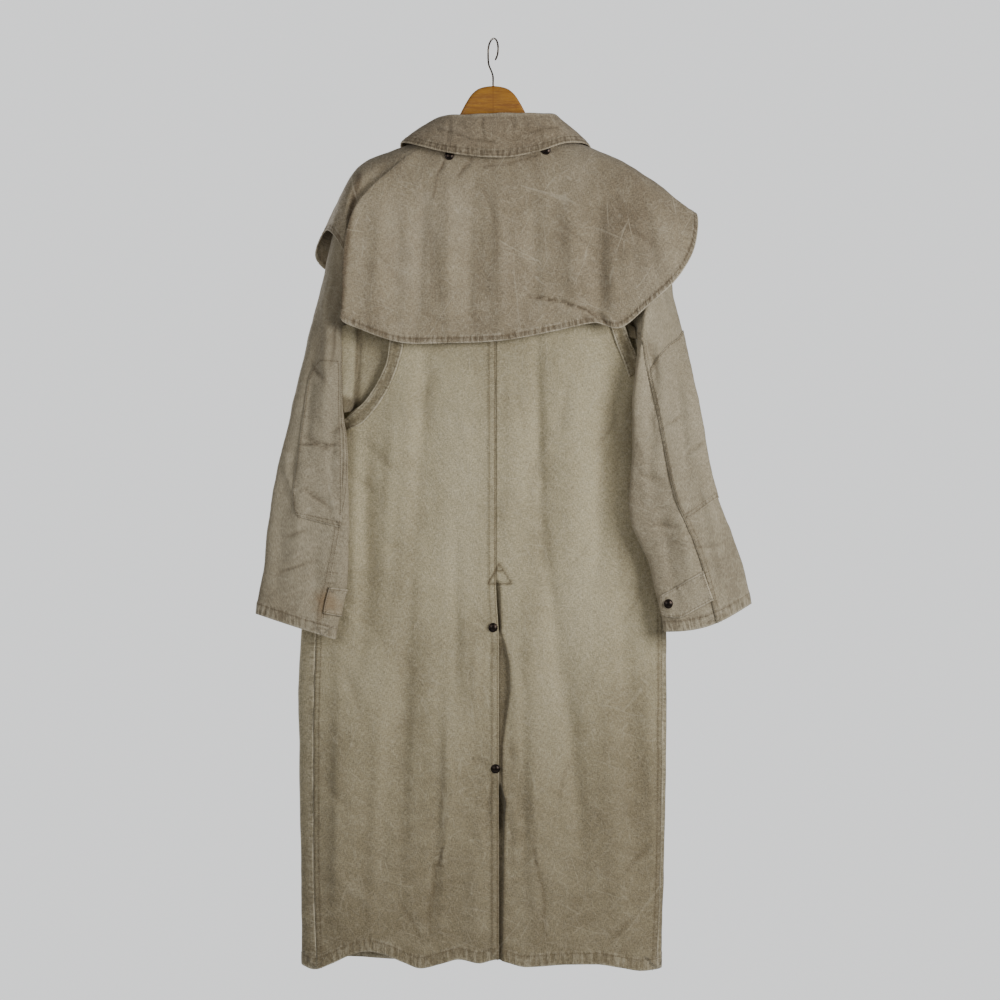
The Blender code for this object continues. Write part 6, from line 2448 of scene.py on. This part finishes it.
@dataclass
class Collar:
    """The collar's turned-down fall and its stand.

    Attributes:
        around: Grid points round it.
        along: Grid points from fold to free edge.
    """

    around: int = 281
    along: int = 29

    def line(self) -> Array:
        """The fold and the free edge, as pairs of points.

        Returns:
            A pair of points for each place round it.
        """
        control = np.array(COLLAR, float).reshape(len(COLLAR), 2, 3)
        control[..., 2] *= -1
        return curve_through(control, self.around)

    def fall(self) -> ClothPanel:
        """The turned-down part.

        Returns:
            The panel.
        """
        line = self.line()
        share = np.linspace(0, 1, self.along)[None, :, None]
        grid = line[:, :1] + (line[:, 1:] - line[:, :1]) * share
        outward = line[:, 1] - (6, 0, 0)
        outward[:, 2] = 60
        outward = unit(outward)
        grid = grid + outward[:, None] * (np.sin(math.pi * share) ** 0.8 * 4)
        inside = -np.broadcast_to(outward[:, None], grid.shape)
        x, down = grid[..., 0], -grid[..., 2]
        flat = share[..., 0]
        relief = 2.2 * creases(COLLAR_CREASES, x, down) * ramp(-grid[..., 1], 10, 26)
        dents = crumple(x, down, 34, 18) + 0.7 * crumple(x, down, 15, 19) + 0.6
        relief = relief + ramp(flat, 0, 0.3) * 0.35 * dents
        relief = relief + 1.2 * np.exp(-((flat / 0.12) ** 2)) * (np.sin(x / 9.0) * np.sin(x / 23.0 + 0.5))
        ends = tuple(Seam(edge, (2.4, 9.0), 11.5, 0.4, 0.4, 7.5, 1.0) for edge in (Edge.TOP, Edge.BOTTOM))
        seams = (Seam(Edge.LAST, (3.6, 10.4), 12.0, 0.45, 0.4, 7.5, 1.0), *ends)
        wear = 0.55 * np.exp(-((flat / 0.09) ** 2)) + 0.1 * ramp(crumple(x, down, 26, 26), 0.3, 1.2)
        # Painted shade along the collar's creases.
        soil = sum(0.6 * drawn_line(line, x, down, 1.8) for line in COLLAR_LINES) * ramp(-grid[..., 1], 0, 16)
        return ClothPanel("collar_fall", grid, inside, 2.2, seams, relief, wear, np.clip(soil, 0, 1), 0.1, True)

    def stand(self) -> ClothPanel:
        """The stand that rises from the neck inside the fall.

        Returns:
            The panel.
        """
        bottom = np.array(COLLAR_STAND_BOTTOM, float)
        bottom[:, 2] *= -1
        bottom = curve_through(bottom, self.around)
        top = self.line()[:, 0].copy()
        top[:, 2] -= 3
        towards = np.array([6.0, 0.0, 0.0]) - top
        towards[:, 2] = 0
        towards = unit(towards)
        top = top + towards * 3.0
        share = np.linspace(0, 1, 13)[None, :, None]
        grid = top[:, None] + (bottom - top)[:, None] * share
        inside = np.broadcast_to(towards[:, None], grid.shape)
        relief = -0.1 - 0.1 * crumple(grid[..., 0], grid[..., 2], 30, 20)
        seams = (Seam(Edge.FIRST, (3.0,), 4.0, 0.0, 0.15, 8.0, 0.6),)
        return ClothPanel("collar_stand", grid, inside, 1.8, seams, relief, 0.0, 0.15, 0.2)

    def build(self, finishes: Finishes, book: StitchBook) -> None:
        """Makes both parts and hands over their stitch lines.

        Args:
            finishes: The materials.
            book: Takes the stitch lines.
        """
        for panel, carrier in ((self.fall(), "collar_stand"), (self.stand(), "back_left")):
            book.lines += panel.stitch_lines()
            lay_sheet(panel, finishes.collar, "cape_canvas")


@dataclass
class Studio:
    """The floor, the lights, the surroundings and the camera.

    Attributes:
        distance: From the camera to the coat's back, in metres.
        frame_width: The width of the view at the coat's back.
        aim: The middle of the photograph's frame, X and Z.
        floor: The floor's height.
        floor_radius: The floor's radius.
        back: The Y of the coat's back.
        middle: The coat's middle, which the lights face.
        lights: Each light's name, place, size and power in watts.
        tone: The lights' colour.
        surroundings: The colour around the coat.
        seen: How much brighter the camera sees the surroundings than they light.
        lit: How strongly they light.
    """

    distance: float = 4.5
    frame_width: float = 1.6
    aim: tuple[float, float] = (0.0112, -0.744)
    floor: float = -1.9
    floor_radius: float = 1.45
    back: float = -0.045
    middle: tuple[float, float, float] = (0.0, 0.0, -0.8)
    lights: tuple[tuple[str, tuple[float, float, float], float, float], ...] = (
        ("key_light", (1.7, -1.5, -0.28), 1.0, 41.0),
        ("fill_light", (-1.2, -2.3, -0.3), 1.2, 15.0),
        ("back_light", (-1.9, 2.2, 0.0), 1.2, 55.0),
    )
    tone: tuple[float, float, float] = (1.0, 0.985, 0.955)
    surroundings: Colour = (0.86, 0.87, 0.88, 1.0)
    seen: float = 1.15
    lit: float = 0.2

    def light(self, name: str, place: tuple[float, float, float], size: float, power: float) -> None:
        """A square soft light that faces the coat's middle.

        Args:
            name: The light's name.
            place: Where it hangs, in metres.
            size: Its side in metres.
            power: Its power in watts.
        """
        lamp = bpy.data.lights.new(name, "AREA")
        lamp.energy, lamp.size = power, size
        lamp.color = self.tone
        holder = bpy.data.objects.new(name, lamp)
        bpy.context.scene.collection.objects.link(holder)
        holder.location = place
        away = np.array(place) - np.array(self.middle)
        yaw = math.atan2(away[0], -away[1])
        pitch = math.atan2(math.hypot(away[0], away[1]), away[2])
        holder.rotation_euler = (pitch, 0.0, yaw)

    def lay_floor(self, finishes: Finishes) -> None:
        """Lays the round floor below the hem.

        Args:
            finishes: The materials.
        """
        reach = self.floor_radius * PER_METRE
        turns = np.linspace(0, 2 * math.pi, 97)[:-1]
        points = [(reach * math.cos(turn), reach * math.sin(turn), self.floor * PER_METRE) for turn in turns]
        floor = to_mesh("studio_floor", np.array(points), [tuple(range(len(points)))])
        to_object("studio_floor", floor, finishes.floor)

    def surround(self) -> None:
        """Sets the plain surroundings."""
        world = bpy.data.worlds.new("studio")
        bpy.context.scene.world = world
        world.use_nodes = True
        bench = NodeBench(world.node_tree)
        back = world.node_tree.nodes["Background"]
        back.inputs["Color"].default_value = self.surroundings
        seen = bench.add("ShaderNodeLightPath").outputs["Is Camera Ray"]
        bench.feed(back.inputs["Strength"], bench.math("MULTIPLY_ADD", seen, self.seen, self.lit))

    def place_camera(self) -> None:
        """Places the camera square behind the coat."""
        camera = bpy.data.cameras.new("camera")
        camera.lens = 36.0 * self.distance / self.frame_width
        camera.sensor_width = 36.0
        camera.clip_end = 60.0
        holder = bpy.data.objects.new("camera", camera)
        bpy.context.scene.collection.objects.link(holder)
        holder.location = (self.aim[0], self.back - self.distance, self.aim[1])
        holder.rotation_euler = (math.pi / 2, 0.0, 0.0)
        bpy.context.scene.camera = holder

    def build(self, finishes: Finishes) -> None:
        """Sets everything up.

        Args:
            finishes: The materials.
        """
        self.lay_floor(finishes)
        self.surround()
        for light in self.lights:
            self.light(*light)
        self.place_camera()


def project(points: Table, pieces: list[Piece], raised: float = 0.3) -> Array:
    """Lays a drawn line of x and down on the back of finished pieces.

    Args:
        points: Corners of the line.
        pieces: The pieces that it may lie on.
        raised: How far off them it lies, in millimetres.

    Returns:
        Points on the pieces.
    """
    trees = []
    for piece in pieces:
        corners = [vertex.co for vertex in piece.data.vertices]
        trees.append(BVHTree.FromPolygons(corners, [tuple(face.vertices) for face in piece.data.polygons]))
    found = []
    for (x1, down1), (x2, down2) in zip(points, points[1:]):
        count = max(int(math.hypot(x2 - x1, down2 - down1) / 2), 2)
        for share in np.linspace(0, 1, count):
            x, z = (x1 + (x2 - x1) * share) / PER_METRE, -(down1 + (down2 - down1) * share) / PER_METRE
            hits = [tree.ray_cast((x, CAST_FROM, z), (0, 1, 0))[0] for tree in trees]
            hits = [hit.y for hit in hits if hit is not None]
            if hits:
                found.append((x * PER_METRE, min(hits) * PER_METRE - raised, z * PER_METRE))
    return np.array(found)


def main() -> None:
    """Builds every sub-assembly in order and reports it."""
    finishes = Finishes()
    book = StitchBook()
    Studio().build(finishes)
    hanger = Hanger()
    for piece in (hanger.wood(finishes), hanger.hook(finishes)):
        LOG.info("%s: %d faces", piece.name, len(piece.data.polygons))
    backs = Body().build(finishes, book)
    corner = [backs["back_left"], backs["back_right"]]
    book.lines.append(project(VENT_TACK, corner))
    Sleeve("left", LEFT_SLEEVE, LEFT_SLEEVE_FOLDS, LEFT_SLEEVE_CREASES).build(finishes, book)
    Sleeve("right", RIGHT_SLEEVE, RIGHT_SLEEVE_FOLDS, RIGHT_SLEEVE_CREASES).build(finishes, book)
    Cape().build(finishes, book)
    Collar().build(finishes, book)
    for node in sorted(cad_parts):
        if "_snap" in node:
            Snap(node).build(finishes)
    stitches = book.sew("stitching", finishes.thread)
    dress(stitches, "canvas")
    LOG.info("stitching: %d lines, %d faces", len(book.lines), len(stitches.data.polygons))
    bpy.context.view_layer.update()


if __name__ == "__main__":
    logging.basicConfig(level=logging.INFO, format="%(message)s")
    main()
